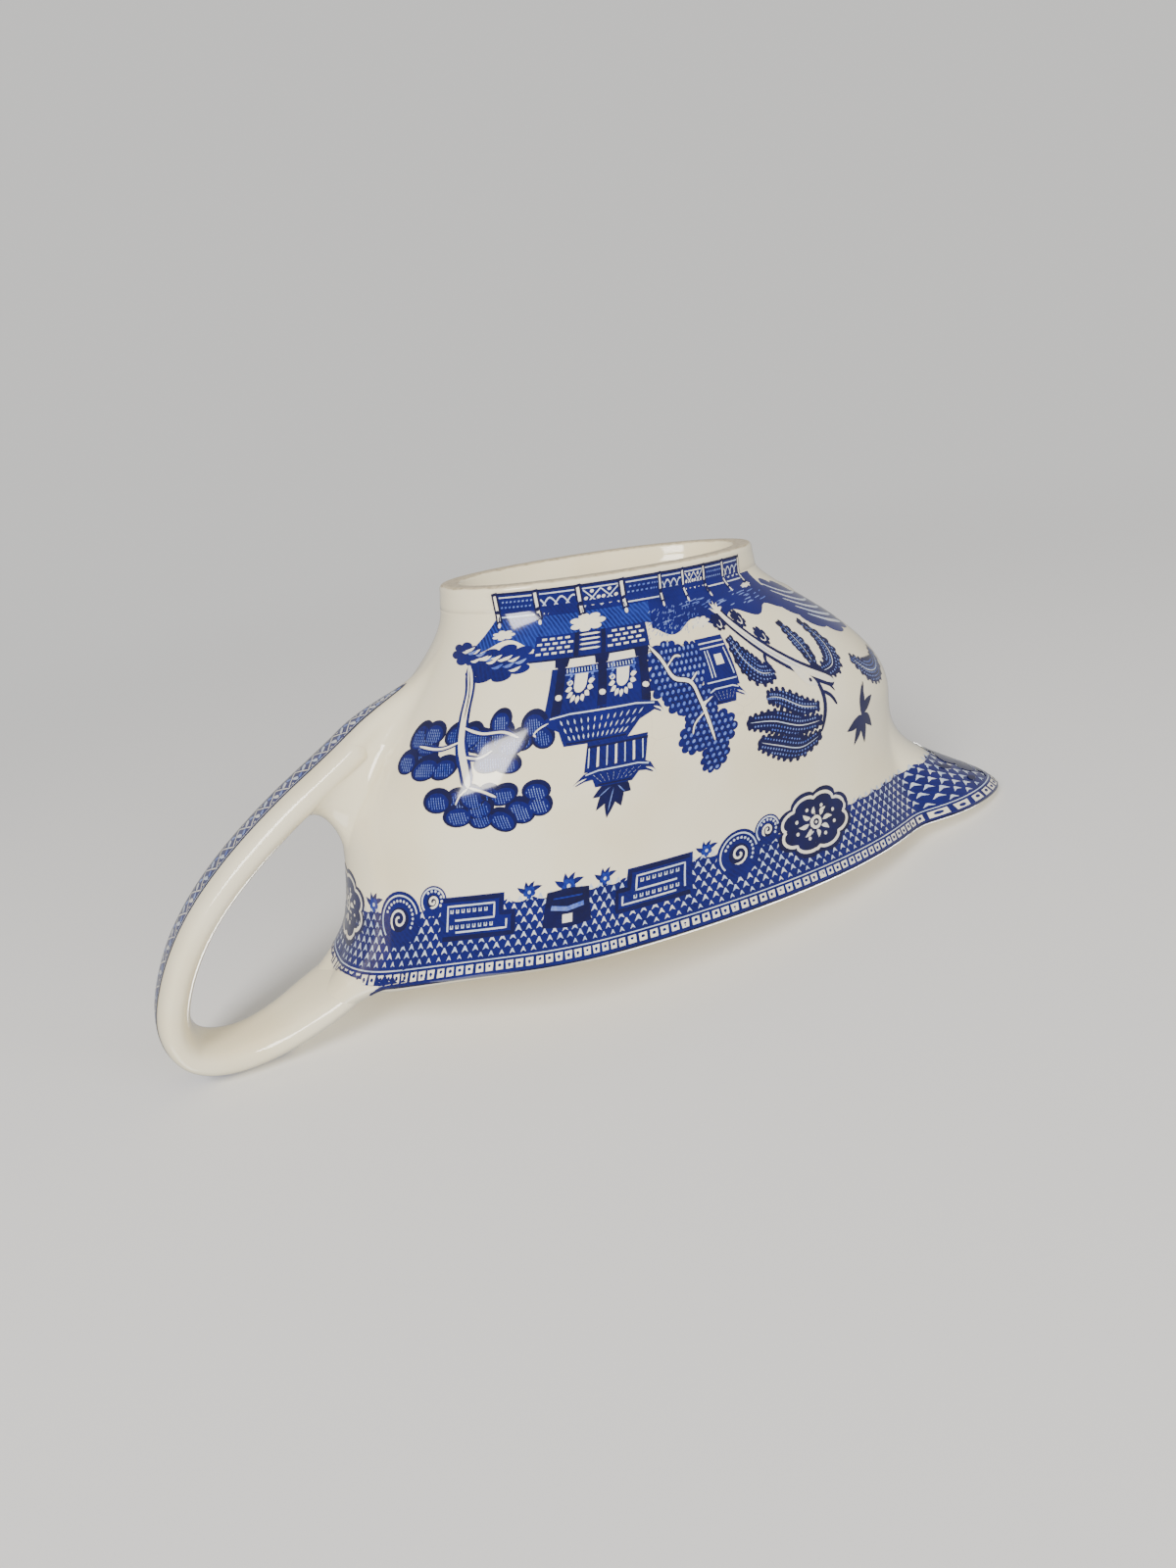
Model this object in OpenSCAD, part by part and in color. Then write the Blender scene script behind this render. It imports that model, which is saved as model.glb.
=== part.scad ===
// Gravy boat in glazed earthenware: an oval bowl that runs out into a pouring
// spout, a foot ring, and a strap handle luted to the bowl with slip.
// +Z is up, +X points to the spout and the handle is on the -X side. The origin
// is the centre of the foot's resting face. All sizes are in millimetres.

/* [Bowl] */
// Height of the rim beside the middle of the bowl
rim_height = 73; // [68:1:80]
// How much higher the rim stands at the handle
rim_lift = 8; // [5:0.5:10]
// Width of the bowl across the rim
rim_width = 78; // [74:1:88]
// Reach of the rim towards the handle
rim_back = 71; // [68:1:76]
// Reach of the bowl's oval towards the spout, at the rim
rim_front = 76; // [72:1:80]
// Width of the bowl across the belly
belly_width = 73; // [68:1:80]
// Reach of the belly towards the handle
belly_back = 65; // [60:1:68]
// Reach of the belly towards the spout
belly_front = 69; // [66:1:74]
// Thickness of the wall and of the rim
wall = 3.4; // [3:0.1:4]
// Thickness of the floor
floor_thickness = 4.5; // [4:0.1:6]

/* [Spout] */
// How far the lip stands out beyond the bowl's oval
spout_length = 28; // [20:1:32]
// Height at which the spout starts to leave the belly
spout_start = 40; // [36:1:46]
// Half angle of the bowl's oval that the spout grows from
spout_half_angle = 25; // [20:1:30]

/* [Foot] */
// Length of the foot ring
foot_length = 72; // [68:1:78]
// Width of the foot ring
foot_width = 46; // [42:1:52]
// Height of the foot ring
foot_height = 5; // [4:0.5:7]
// Width of the ring's tread
foot_tread = 3.6; // [3:0.2:5]

/* [Handle] */
// Width of the strap
strap_width = 17; // [14:0.5:20]
// Thickness of the strap
strap_thickness = 6.8; // [5.5:0.1:8]
// Extra width of the strap where it spreads towards the rim
strap_spread = 7; // [4:0.5:9]
// How far the slip spreads along the rim on each side of the strap
rim_slip = 11; // [8:0.5:13]
// How far the slip runs down the wall under the strap
under_slip = 10; // [7:0.5:12]
// How far the slip swells round the strap's lower end
low_slip = 2.2; // [1.4:0.1:2.4]

/* [Hidden] */

CREAM = [0.91, 0.88, 0.80];
CREAM_SLIP = [0.87, 0.83, 0.73];

AROUND = 96;        // points around the bowl
UP = 26;            // rows from the foot to the rim
RIM_ARC = 5;        // rows over the rounded rim
FLOOR_ROWS = 4;     // rows in the rounded corner inside the bowl
STRAP_AROUND = 20;  // points around the strap
STRAP_RINGS = 48;   // rings along the strap
SLIP_RINGS = 10;    // rings along a joint's slip
STEP = 0.01;        // step of the numeric slopes

belly_height_back = 0.64 * rim_height;   // height of the widest belly at the handle
belly_height_front = 0.54 * rim_height;  // the same at the spout
belly_height_side = 0.54 * rim_height;   // the same at the sides
foot_shift = 1.5;                        // the foot's centre, towards the spout, at mid oval
rim_shift = -20;                         // the rim's widest place, towards the handle
lift_start = 35;                         // where the rim starts to climb, behind the centre
wall_top = rim_height - wall / 2;        // height where the rim's rounding starts
floor_height = foot_height + floor_thickness;

back_skew = 0.95;      // how late the wall swells out at the handle: 1 is an even curve
front_skew = 0.7;      // the same at the spout
side_skew = 0.65;      // the same at the sides
rear_squareness = 0.9; // exponent of the oval's rear end at the foot, 1 for an ellipse
spout_power = 1.6;     // how late the spout leaves the wall on its way up
plan_power = 2.5;      // how square the lip is from above
plan_softness = 0.01;  // how softly the lip meets the oval
lip_swell = 0.4;       // extra width halfway out along the spout
crowding = 29;         // degrees by which the points crowd towards the spout
row_crowding = 1.35;   // how much closer together the rows are near the rim
corner_inset = 0.22;   // how far the corner at the floor is drawn in

tread_height = 1;      // height of the foot's bevelled tread
tread_bevel = 0.8;     // how far the tread is set in from the foot's side
foot_step = 0.4;       // how far the foot's side is set in from the bowl

tip_end = 0.22;        // share of the strap over which its lower end tapers
taper = 0.2;           // share over which each change of its section fades in
tip_narrowing = 0.5;   // loss of width at the tip
tip_thinning = 0.35;   // loss of thickness at the tip
spread_start = 0.72;   // where the strap starts to spread towards the rim
thin_start = 0.85;     // where it starts to thin towards the rim
thin_length = 0.15;    // share over which it thins
rim_thinning = 0.25;   // loss of thickness at the rim
strap_power = 0.8;     // how flat the strap's section is, 1 for an ellipse

skin = 0.4;            // least thickness of the upper joint's slip
upper_start = 0.84;    // where the upper joint starts on the strap
flare_power = 2.2;     // how late the upper joint flares
low_skin = 0.6;        // least thickness of the lower joint's slip
low_start = 0.03;      // where the lower joint starts on the strap
low_end = 0.24;        // where it ends
low_top = -0.5;        // the strap's outer face stands this far clear of the slip
swell_power = 1.5;     // how fast the lower joint's swelling dies away

// ---- Small helpers -------------------------------------------------------

function clamp01(t) = max(0, min(1, t));
function smooth(t) = let (c = clamp01(t)) c * c * (3 - 2 * c);
function mix(a, b, t) = a + (b - a) * t;
function unit(v) = v / norm(v);

// Catmull-Rom curve through a list of points, for t from 0 to 1.
function curve(points, t) =
    let (spans = len(points) - 1,
         i = min(spans - 1, floor(t * spans)),
         f = t * spans - i,
         p0 = points[max(0, i - 1)],
         p1 = points[i],
         p2 = points[i + 1],
         p3 = points[min(spans, i + 2)])
    0.5 * (2 * p1 + (p2 - p0) * f
           + (2 * p0 - 5 * p1 + 4 * p2 - p3) * pow(f, 2)
           + (3 * p1 - p0 - 3 * p2 + p3) * pow(f, 3));

// Side faces between rows of points that are stored one after another.
function side_faces(rows, count) =
    [for (r = [0 : rows - 2], k = [0 : count - 1])
        let (a = r * count + k, b = r * count + (k + 1) % count)
        each [[a, b + count, b], [a, a + count, b + count]]];

function first_cap(count) = [for (k = [0 : count - 1]) k];
function last_cap(rows, count) = [for (k = [count - 1 : -1 : 0]) (rows - 1) * count + k];

// Keeps a cut between faceted shells as one clean mesh. Zeros keep the size.
module meshed() {
    resize([0, 0, 0]) children();
}

// ---- The bowl's outer surface ---------------------------------------------

// Reach of the wall at height z: out from the foot, round the belly, up to the rim.
function reach(z, foot_r, belly_r, belly_z, rim_r, skew) =
    foot_r
    + (belly_r - foot_r) * smooth(pow(clamp01((z - foot_height) / (belly_z - foot_height)), skew))
    + (rim_r - belly_r) * pow(clamp01((z - belly_z) / (rim_height - belly_z)), 2);

function reach_back(z) =
    reach(z, foot_length / 2, belly_back, belly_height_back, rim_back, back_skew);
function reach_front(z) =
    reach(z, foot_length / 2, belly_front, belly_height_front, rim_front, front_skew);
function half_width(z) =
    reach(z, foot_width / 2, belly_width / 2, belly_height_side, rim_width / 2, side_skew);

// The widest place moves from the foot's centre to the rear of the rim.
function widest(z) = mix(foot_shift, rim_shift, smooth(z / rim_height));

// Exponent of the oval's rear end: a squarer oval at the belly than at the rim.
function rear_power(z) = mix(rear_squareness, 1, smooth(z / rim_height));

// Share of the spout's length that is reached at height z.
function spout_rise(z) =
    smooth(pow(clamp01((z - spout_start) / (rim_height - spout_start)), spout_power));

// The spout's outline, 1 at the lip and fading out past the pinch beside it.
function spout_plan(a) =
    let (side = abs(min(a, 360 - a)) / spout_half_angle,
         rest = 1 - pow(side, plan_power))
    sqrt(0.5 * (rest + sqrt(pow(rest, 2) + plan_softness)));

// The wall is drawn up towards the handle, steeply over the last stretch.
function rim_stretch(x) =
    1 + rim_lift / rim_height * pow(clamp01((-lift_start - x) / (rim_back - lift_start)), 3);

function outer(a, z) =
    let (c = cos(a), s = sin(a),
         power = c < 0 ? rear_power(z) : 1,
         mid = widest(z),
         oval_x = c < 0 ? mid - (reach_back(z) + mid) * pow(-c, power)
                        : mid + (reach_front(z) - mid) * c,
         grow = spout_rise(z) * spout_plan(a),
         x = oval_x + spout_length * grow,
         y = half_width(z) * sign(s) * pow(abs(s), power) * (1 + lip_swell * grow * (1 - grow)))
    [x, y, z * rim_stretch(x)];

function along(a, z) = unit(outer(a, z + STEP) - outer(a, z - STEP));
function outward(a, z) =
    unit(cross(outer(a + STEP, z) - outer(a - STEP, z), outer(a, z + STEP) - outer(a, z - STEP)));

// Angles crowd together at the spout, where the outline turns most.
function angle(k) = let (s = 360 * k / AROUND) s - crowding * sin(s);

function row(z) = [for (k = [0 : AROUND - 1]) outer(angle(k), z)];
function inner_row(z) =
    [for (k = [0 : AROUND - 1]) outer(angle(k), z) - wall * outward(angle(k), z)];
function rim_row(turn) =
    [for (k = [0 : AROUND - 1])
        let (a = angle(k), n = outward(a, wall_top), t = along(a, wall_top))
        outer(a, wall_top) - wall / 2 * n + wall / 2 * (cos(turn) * n + sin(turn) * t)];

// Heights of the rows, closer together under the lip.
function level(j, low) = mix(low, wall_top, 1 - pow(1 - j / UP, row_crowding));

// The corner between the wall and the floor, drawn in towards the middle.
function corner_row(j) =
    let (turn = 90 * j / FLOOR_ROWS,
         low = floor_height + wall,
         start = inner_row(low + wall))
    [for (p = start)
        let (inset = 1 - corner_inset * (1 - cos(turn)))
        [p[0] * inset, p[1] * inset, mix(p[2], floor_height, sin(turn))]];

outer_rows = [for (j = [0 : UP]) row(level(j, foot_height))];
rim_rows = [for (j = [1 : RIM_ARC]) rim_row(180 * j / (RIM_ARC + 1))];
inner_rows = [for (j = [UP : -1 : 0]) inner_row(level(j, floor_height + 2 * wall))];
corner_rows = [for (j = [1 : FLOOR_ROWS]) corner_row(j)];

// ---- The handle's strap -----------------------------------------------------

// Middle line of the strap in the XZ plane, from low on the bowl to the rim.
strap_line = [[-38, 9], [-43.5, 16], [-52, 23.5], [-63, 31.5], [-76, 40], [-88, 49.5], [-97, 59],
              [-103, 69], [-106, 79], [-103.5, 86.3], [-96, 88.8], [-87, 87.4], [-78, 83.6],
              [-70, 79.5], [-62, 75]];

function strap_mid(t) = let (p = curve(strap_line, t)) [p[0], 0, p[1]];
function strap_along(t) = unit(strap_mid(min(1, t + STEP)) - strap_mid(max(0, t - STEP)));
function strap_out(t) = cross(strap_along(t), [0, 1, 0]);

// The strap spreads towards the rim and tapers to a tip low on the bowl.
function strap_half_width(t) =
    strap_width / 2 * (1 - tip_narrowing * smooth((tip_end - t) / taper))
    + strap_spread / 2 * smooth((t - spread_start) / taper);
function strap_half_thick(t) =
    strap_thickness / 2 * (1 - tip_thinning * smooth((taper - t) / taper)
                           - rim_thinning * smooth((t - thin_start) / thin_length));

// One ring of the strap, an oval flatter than an ellipse. The slip adds to it at
// the sides, on top (away from the bowl) and underneath.
function strap_ring(t, sides, top, under) =
    [for (k = [0 : STRAP_AROUND - 1])
        let (a = 360 * (k + 0.5) / STRAP_AROUND, c = cos(a), s = sin(a),
             thick = strap_half_thick(t) + (s > 0 ? top : under))
        strap_mid(t)
        + [0, 1, 0] * (strap_half_width(t) + sides) * sign(c) * pow(abs(c), strap_power)
        + strap_out(t) * thick * sign(s) * pow(abs(s), strap_power)];

module sweep(rings) {
    polyhedron([for (r = rings) each r],
               concat([first_cap(STRAP_AROUND)], side_faces(len(rings), STRAP_AROUND),
                      [last_cap(len(rings), STRAP_AROUND)]));
}

module strap() {
    sweep([for (j = [0 : STRAP_RINGS]) strap_ring(j / STRAP_RINGS, 0, 0, 0)]);
}

// ---- The solid that the handle and the slip are fitted to ---------------------

// The bowl filled to the crest of its rim, with the space above it.
module bowl_and_above() {
    crest = rim_rows[(RIM_ARC - 1) / 2];
    rows = concat(outer_rows, [for (j = [0 : (RIM_ARC - 1) / 2]) rim_rows[j]],
                  [[for (p = crest) [p[0], p[1], 2 * rim_height]]]);
    polyhedron([for (r = rows) each r],
               concat([first_cap(AROUND)], side_faces(len(rows), AROUND),
                      [last_cap(len(rows), AROUND)]));
}

// Cuts its first child back to the bowl's surface, and to any other children.
module fitted() {
    meshed()
    difference() {
        children(0);
        bowl_and_above();
        if ($children > 1) children(1);
    }
}

// ---- Sub-parts ----------------------------------------------------------------

module bowl() {
    rows = concat(outer_rows, rim_rows, inner_rows, corner_rows);
    color(CREAM)
    polyhedron([for (r = rows) each r],
               concat([first_cap(AROUND)], side_faces(len(rows), AROUND),
                      [last_cap(len(rows), AROUND)]));
}

module oval(inset) {
    polygon([for (p = row(foot_height)) [p[0] - inset * p[0] / norm([p[0], p[1]]),
                                         p[1] - inset * p[1] / norm([p[0], p[1]])]]);
}

module foot_ring() {
    tread_out = foot_step + tread_bevel;
    tread_in = tread_out + foot_tread;
    color(CREAM)
    union() {
        linear_extrude(height = tread_height)
            difference() { oval(tread_out); oval(tread_in); }
        translate([0, 0, tread_height])
            linear_extrude(height = foot_height - tread_height)
                difference() { oval(foot_step); oval(tread_in + tread_bevel); }
    }
}

module handle() {
    color(CREAM)
    fitted() strap();
}

module upper_handle_joint() {
    color(CREAM_SLIP)
    fitted() {
        sweep([for (j = [0 : SLIP_RINGS])
                  let (f = j / SLIP_RINGS, flare = pow(f, flare_power))
                  strap_ring(mix(upper_start, 1, f), skin + rim_slip * flare, skin,
                             skin + under_slip * flare)]);
        strap();
    }
}

module lower_handle_joint() {
    color(CREAM_SLIP)
    fitted() {
        sweep([for (j = [0 : SLIP_RINGS])
                  let (f = j / SLIP_RINGS, swell = low_skin + low_slip * pow(1 - f, swell_power))
                  strap_ring(mix(low_start, low_end, f), swell, low_top, swell)]);
        strap();
    }
}

bowl();
foot_ring();
handle();
upper_handle_joint();
lower_handle_joint();
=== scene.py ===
"""A cream glazed gravy boat with cobalt blue transfer prints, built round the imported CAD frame.

The bowl follows the same formulas as the CAD design, at a finer step. All shape functions
work in millimetres in the part's frame, and the meshes are made in metres.
"""

import math
import random

import bpy
import numpy as np
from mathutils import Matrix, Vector, geometry
from mathutils.bvhtree import BVHTree


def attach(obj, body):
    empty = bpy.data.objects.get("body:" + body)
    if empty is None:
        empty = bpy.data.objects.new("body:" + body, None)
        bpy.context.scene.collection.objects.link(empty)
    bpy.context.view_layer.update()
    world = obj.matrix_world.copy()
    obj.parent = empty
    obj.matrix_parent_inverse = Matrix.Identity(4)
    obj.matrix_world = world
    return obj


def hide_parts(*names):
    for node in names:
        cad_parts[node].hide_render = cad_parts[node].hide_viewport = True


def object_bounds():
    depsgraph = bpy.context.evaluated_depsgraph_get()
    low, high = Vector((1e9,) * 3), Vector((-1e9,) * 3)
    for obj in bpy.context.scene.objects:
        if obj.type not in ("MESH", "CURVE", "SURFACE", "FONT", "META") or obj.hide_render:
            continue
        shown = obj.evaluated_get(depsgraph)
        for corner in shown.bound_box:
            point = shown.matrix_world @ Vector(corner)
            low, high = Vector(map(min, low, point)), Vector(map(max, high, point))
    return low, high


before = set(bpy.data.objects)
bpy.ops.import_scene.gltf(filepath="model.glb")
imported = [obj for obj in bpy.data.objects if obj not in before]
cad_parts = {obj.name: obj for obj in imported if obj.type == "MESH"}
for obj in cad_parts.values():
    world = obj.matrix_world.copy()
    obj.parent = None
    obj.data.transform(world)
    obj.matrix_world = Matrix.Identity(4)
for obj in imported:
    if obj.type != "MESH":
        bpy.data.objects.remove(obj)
CAD_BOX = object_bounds()
MM = 0.001

# ---- Driving sizes, in millimetres, the same as in the CAD design ----

RIM_HEIGHT = 73.0
RIM_LIFT = 8.0
LIFT_START = 35.0
RIM_HALF_WIDTH = 39.0
RIM_BACK = 71.0
RIM_FRONT = 76.0
BELLY_HALF_WIDTH = 36.5
BELLY_BACK = 65.0
BELLY_FRONT = 69.0
BELLY_HIGH = 0.64 * RIM_HEIGHT
BELLY_LOW = 0.54 * RIM_HEIGHT
FOOT_HALF_LENGTH = 36.0
FOOT_HALF_WIDTH = 23.0
FOOT_HEIGHT = 5.0
FOOT_TREAD = 3.6
FOOT_SHIFT = 1.5
FOOT_LAP = 1.2
TREAD_BEND = 1.1
BASE_RISE = 0.7
RIM_SHIFT = -20.0
WALL = 3.4
FLOOR_HEIGHT = 9.5
SPOUT_LENGTH = 28.0
SPOUT_START = 40.0
SPOUT_HALF_ANGLE = 25.0
REAR_POWER = 0.9
SIDE_SKEW = 0.65
WALL_TOP = RIM_HEIGHT - WALL / 2
STRAP_HALF_WIDTH = 8.5
STRAP_SPREAD = 3.5
STRAP_HALF_THICK = 3.4
STRAP_TAPER_END = 0.22
STRAP_SPREAD_START = 0.72
SECTION_POWER = 0.8
STRAP_LINE = [(-38, 9), (-43.5, 16), (-52, 23.5), (-63, 31.5), (-76, 40), (-88, 49.5),
              (-97, 59), (-103, 69), (-106, 79), (-103.5, 86.3), (-96, 88.8), (-87, 87.4),
              (-78, 83.6), (-70, 79.5), (-62, 75)]

# ---- Mesh resolution ----

AROUND = 480
OUTER_ROWS = 120
RIM_ROWS = 14
CORNER_ROWS = 10
FLOOR_RINGS = 8
STRAP_AROUND = 72
STRAP_RINGS = 260
SHELL_ROWS = 40
STEP = 0.02
CROWDING = 29


# ---- Small helpers ----

def clip01(t):
    return np.clip(t, 0.0, 1.0)


def smooth(t):
    t = clip01(t)
    return t * t * (3 - 2 * t)


def mix(a, b, t):
    return a + (b - a) * t


def unit(v):
    return v / np.maximum(np.linalg.norm(v, axis=-1, keepdims=True), 1e-12)


def catmull(points, t):
    """Points of a Catmull-Rom curve at t from 0 to 1, for an array of t."""
    p = np.asarray(points, float)
    spans = len(p) - 1
    t = np.clip(np.asarray(t, float), 0, 1) * spans
    i = np.minimum(t.astype(int), spans - 1)
    f = (t - i)[..., None]
    p0, p1 = p[np.maximum(i - 1, 0)], p[i]
    p2, p3 = p[i + 1], p[np.minimum(i + 2, spans)]
    return 0.5 * (2 * p1 + (p2 - p0) * f + (2 * p0 - 5 * p1 + 4 * p2 - p3) * f ** 2
                  + (3 * p1 - p0 - 3 * p2 + p3) * f ** 3)


# ---- The bowl's surface ----

def reach(z, foot, belly, belly_z, rim, skew):
    """How far the wall stands out at height z, from the foot over the belly to the rim."""
    rise = smooth(clip01((z - FOOT_HEIGHT) / (belly_z - FOOT_HEIGHT)) ** skew)
    flare = clip01((z - belly_z) / (RIM_HEIGHT - belly_z)) ** 2
    return foot + (belly - foot) * rise + (rim - belly) * flare


def half_width(z):
    return reach(z, FOOT_HALF_WIDTH, BELLY_HALF_WIDTH, BELLY_LOW, RIM_HALF_WIDTH, SIDE_SKEW)


def outer(a, z):
    """Points of the bowl's outside at angle a, in degrees from the spout, and nominal height z."""
    a, z = np.broadcast_arrays(np.asarray(a, float) % 360, np.asarray(z, float))
    c, s = np.cos(np.radians(a)), np.sin(np.radians(a))
    high = smooth(z / RIM_HEIGHT)
    power = np.where(c < 0, mix(REAR_POWER, 1.0, high), 1.0)
    mid = mix(FOOT_SHIFT, RIM_SHIFT, high)
    back = reach(z, FOOT_HALF_LENGTH, BELLY_BACK, BELLY_HIGH, RIM_BACK, 0.95)
    front = reach(z, FOOT_HALF_LENGTH, BELLY_FRONT, BELLY_LOW, RIM_FRONT, 0.7)
    oval_x = np.where(c < 0, mid - (back + mid) * np.abs(c) ** power, mid + (front - mid) * c)
    rest = 1 - (np.minimum(a, 360 - a) / SPOUT_HALF_ANGLE) ** 2.5
    plan = np.sqrt(0.5 * (rest + np.sqrt(rest ** 2 + 0.01)))
    grow = smooth(clip01((z - SPOUT_START) / (RIM_HEIGHT - SPOUT_START)) ** 1.6) * plan
    x = oval_x + SPOUT_LENGTH * grow
    y = half_width(z) * np.sign(s) * np.abs(s) ** power * (1 + 0.4 * grow * (1 - grow))
    lift = 1 + RIM_LIFT / RIM_HEIGHT * clip01((-LIFT_START - x) / (RIM_BACK - LIFT_START)) ** 3
    return np.stack([x, y, z * lift], -1)


def upward(a, z):
    return unit(outer(a, z + STEP) - outer(a, z - STEP))


def outward(a, z):
    around = outer(a + STEP, z) - outer(a - STEP, z)
    return unit(np.cross(around, outer(a, z + STEP) - outer(a, z - STEP)))


def outside(a, v):
    """Points and normals of the bowl's outside. Above WALL_TOP, v climbs the rim's rounding."""
    a, v = np.broadcast_arrays(np.asarray(a, float), np.asarray(v, float))
    low = np.minimum(v, WALL_TOP)
    n, t = outward(a, low), upward(a, low)
    turn = np.arcsin(clip01((v - WALL_TOP) / (WALL / 2)))[..., None]
    normal = np.cos(turn) * n + np.sin(turn) * t
    return outer(a, low) + WALL / 2 * (normal - n), normal


def over_rim(a, w):
    """Points and normals at w millimetres down the outside from the rim's crest, or inside if w < 0."""
    a, w = np.broadcast_arrays(np.asarray(a, float), np.asarray(w, float))
    quarter = WALL / 2 * math.pi / 2
    n, t = outward(a, WALL_TOP), upward(a, WALL_TOP)
    turn = np.radians(90) - np.clip(w, -quarter, quarter)[..., None] / (WALL / 2)
    rim_normal = np.cos(turn) * n + np.sin(turn) * t
    rim_point = outer(a, WALL_TOP) + WALL / 2 * (rim_normal - n)
    down = WALL_TOP - np.maximum(w - quarter, 0)
    wall_point, wall_normal = outer(a, down), outward(a, down)
    below = (w > quarter)[..., None]
    return np.where(below, wall_point, rim_point), np.where(below, wall_normal, rim_normal)


def bowl_angles():
    """Angles around the bowl, crowded together at the spout, where the outline turns most."""
    s = np.arange(AROUND) * 360 / AROUND
    return s - CROWDING * np.sin(np.radians(s))


# ---- Mesh making ----

def band_faces(rows, count, closed=False):
    """Quads between rows of points that each close round on themselves. closed joins the last
    row to the first."""
    k = np.arange(count)
    nxt = (k + 1) % count
    faces = []
    for r in range(rows if closed else rows - 1):
        a, b = r * count, (r + 1) % rows * count
        faces.append(np.stack([a + k, a + nxt, b + nxt, b + k], -1))
    return np.concatenate(faces).tolist()


def make_mesh(name, points, faces, materials, normals=None, face_material=None, uv=None):
    """A smooth-shaded object from points in millimetres, with normals and UVs given per point."""
    mesh = bpy.data.meshes.new(name)
    mesh.from_pydata((np.asarray(points, float) * MM).tolist(), [], faces)
    for m in materials:
        mesh.materials.append(m)
    if face_material is not None:
        mesh.polygons.foreach_set("material_index", np.asarray(face_material, np.int32))
    mesh.polygons.foreach_set("use_smooth", np.ones(len(mesh.polygons), bool))
    if uv is not None:
        corner = np.zeros(len(mesh.loops), np.int32)
        mesh.loops.foreach_get("vertex_index", corner)
        layer = mesh.uv_layers.new(name="print_mm")
        layer.data.foreach_set("uv", np.asarray(uv, np.float32)[corner].ravel())
    if normals is not None:
        mesh.normals_split_custom_set_from_vertices(unit(np.asarray(normals, float)).tolist())
    mesh.update()
    obj = bpy.data.objects.new(name, mesh)
    bpy.context.scene.collection.objects.link(obj)
    return obj


def grid_normals(points):
    """Normals of a grid of points, rows by points round a closed ring."""
    ahead = np.concatenate([points[1:], points[-1:]])
    behind = np.concatenate([points[:1], points[:-1]])
    around = np.roll(points, -1, axis=1) - np.roll(points, 1, axis=1)
    return unit(np.cross(around, ahead - behind))


# ---- Materials ----

def srgb(r, g, b):
    """A linear colour from sRGB bytes."""
    def line(c):
        c = c / 255
        return c / 12.92 if c <= 0.04045 else ((c + 0.055) / 1.055) ** 2.4
    return (line(r), line(g), line(b), 1.0)


CREAM = srgb(245, 235, 205)
CREAM_WARM = srgb(240, 227, 190)
CRAZE = srgb(176, 160, 128)
SPECK = srgb(96, 92, 96)
BISCUIT = srgb(206, 190, 158)
INK_DARK = srgb(2, 2, 48)
INK_DEEP = srgb(0, 4, 76)
INK_MID = srgb(2, 13, 104)
INK_SOFT = srgb(36, 68, 174)
INK_PALE = srgb(168, 190, 226)
PALE = (0.80, 0.79, 0.77, 1.0)
COAT = 0.3


class Nodes:
    """Adds nodes to one material or world, with short calls for the kinds used here."""

    def __init__(self, owner):
        self.owner = owner
        owner.use_nodes = True
        self.tree = owner.node_tree
        self.shader = self.tree.nodes.get("Principled BSDF")
        self.coords = self.new("TexCoord")

    def put(self, value, socket):
        """Links an output to the socket, or sets its value."""
        if hasattr(value, "is_linked"):
            self.tree.links.new(value, socket)
        else:
            socket.default_value = value

    def new(self, kind, inputs=None, **settings):
        node = self.tree.nodes.new("ShaderNode" + kind)
        for key, value in settings.items():
            setattr(node, key, value)
        for key, value in (inputs or {}).items():
            self.put(value, node.inputs[key])
        return node

    def noise(self, vector, scale, detail=2.0):
        return self.new("TexNoise", {"Vector": vector, "Scale": scale, "Detail": detail}).outputs["Fac"]

    def math(self, operation, a, b=0.0):
        return self.new("Math", {0: a, 1: b}, operation=operation).outputs[0]

    def times(self, *factors):
        product = factors[0]
        for factor in factors[1:]:
            product = self.math("MULTIPLY", product, factor)
        return product

    def ramp(self, value, low, high):
        """0 below low and 1 above high, with a smooth step between."""
        node = self.new("MapRange", {"Value": value, "From Min": low, "From Max": high},
                        interpolation_type="SMOOTHSTEP")
        return node.outputs["Result"]

    def mix(self, factor, a, b):
        return self.new("Mix", {"Factor": factor, 6: a, 7: b}, data_type="RGBA").outputs[2]

    def link(self, output, socket):
        self.tree.links.new(output, self.shader.inputs[socket])

    def end(self, factor, shader, other):
        """Makes the whole look a mix of two shaders."""
        blend = self.new("MixShader", {0: factor, 1: shader.outputs[0], 2: other.outputs[0]})
        ending = [node for node in self.tree.nodes if node.bl_idname.startswith("ShaderNodeOutput")][0]
        self.tree.links.new(blend.outputs[0], ending.inputs[0])


def gloss(n):
    """The clear glaze that lies over everything: hard, glossy and slightly rippled."""
    for socket, value in (("Roughness", 0.1), ("IOR", 1.52), ("Coat Weight", COAT),
                          ("Coat Roughness", 0.03)):
        n.shader.inputs[socket].default_value = value
    where = n.coords.outputs["Object"]
    height = n.math("ADD", n.noise(where, 55.0), n.times(n.noise(where, 420.0, 1.0), 0.06))
    bump = n.new("Bump", {"Height": height, "Strength": 0.35, "Distance": 0.00035})
    n.link(bump.outputs["Normal"], "Normal")


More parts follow.
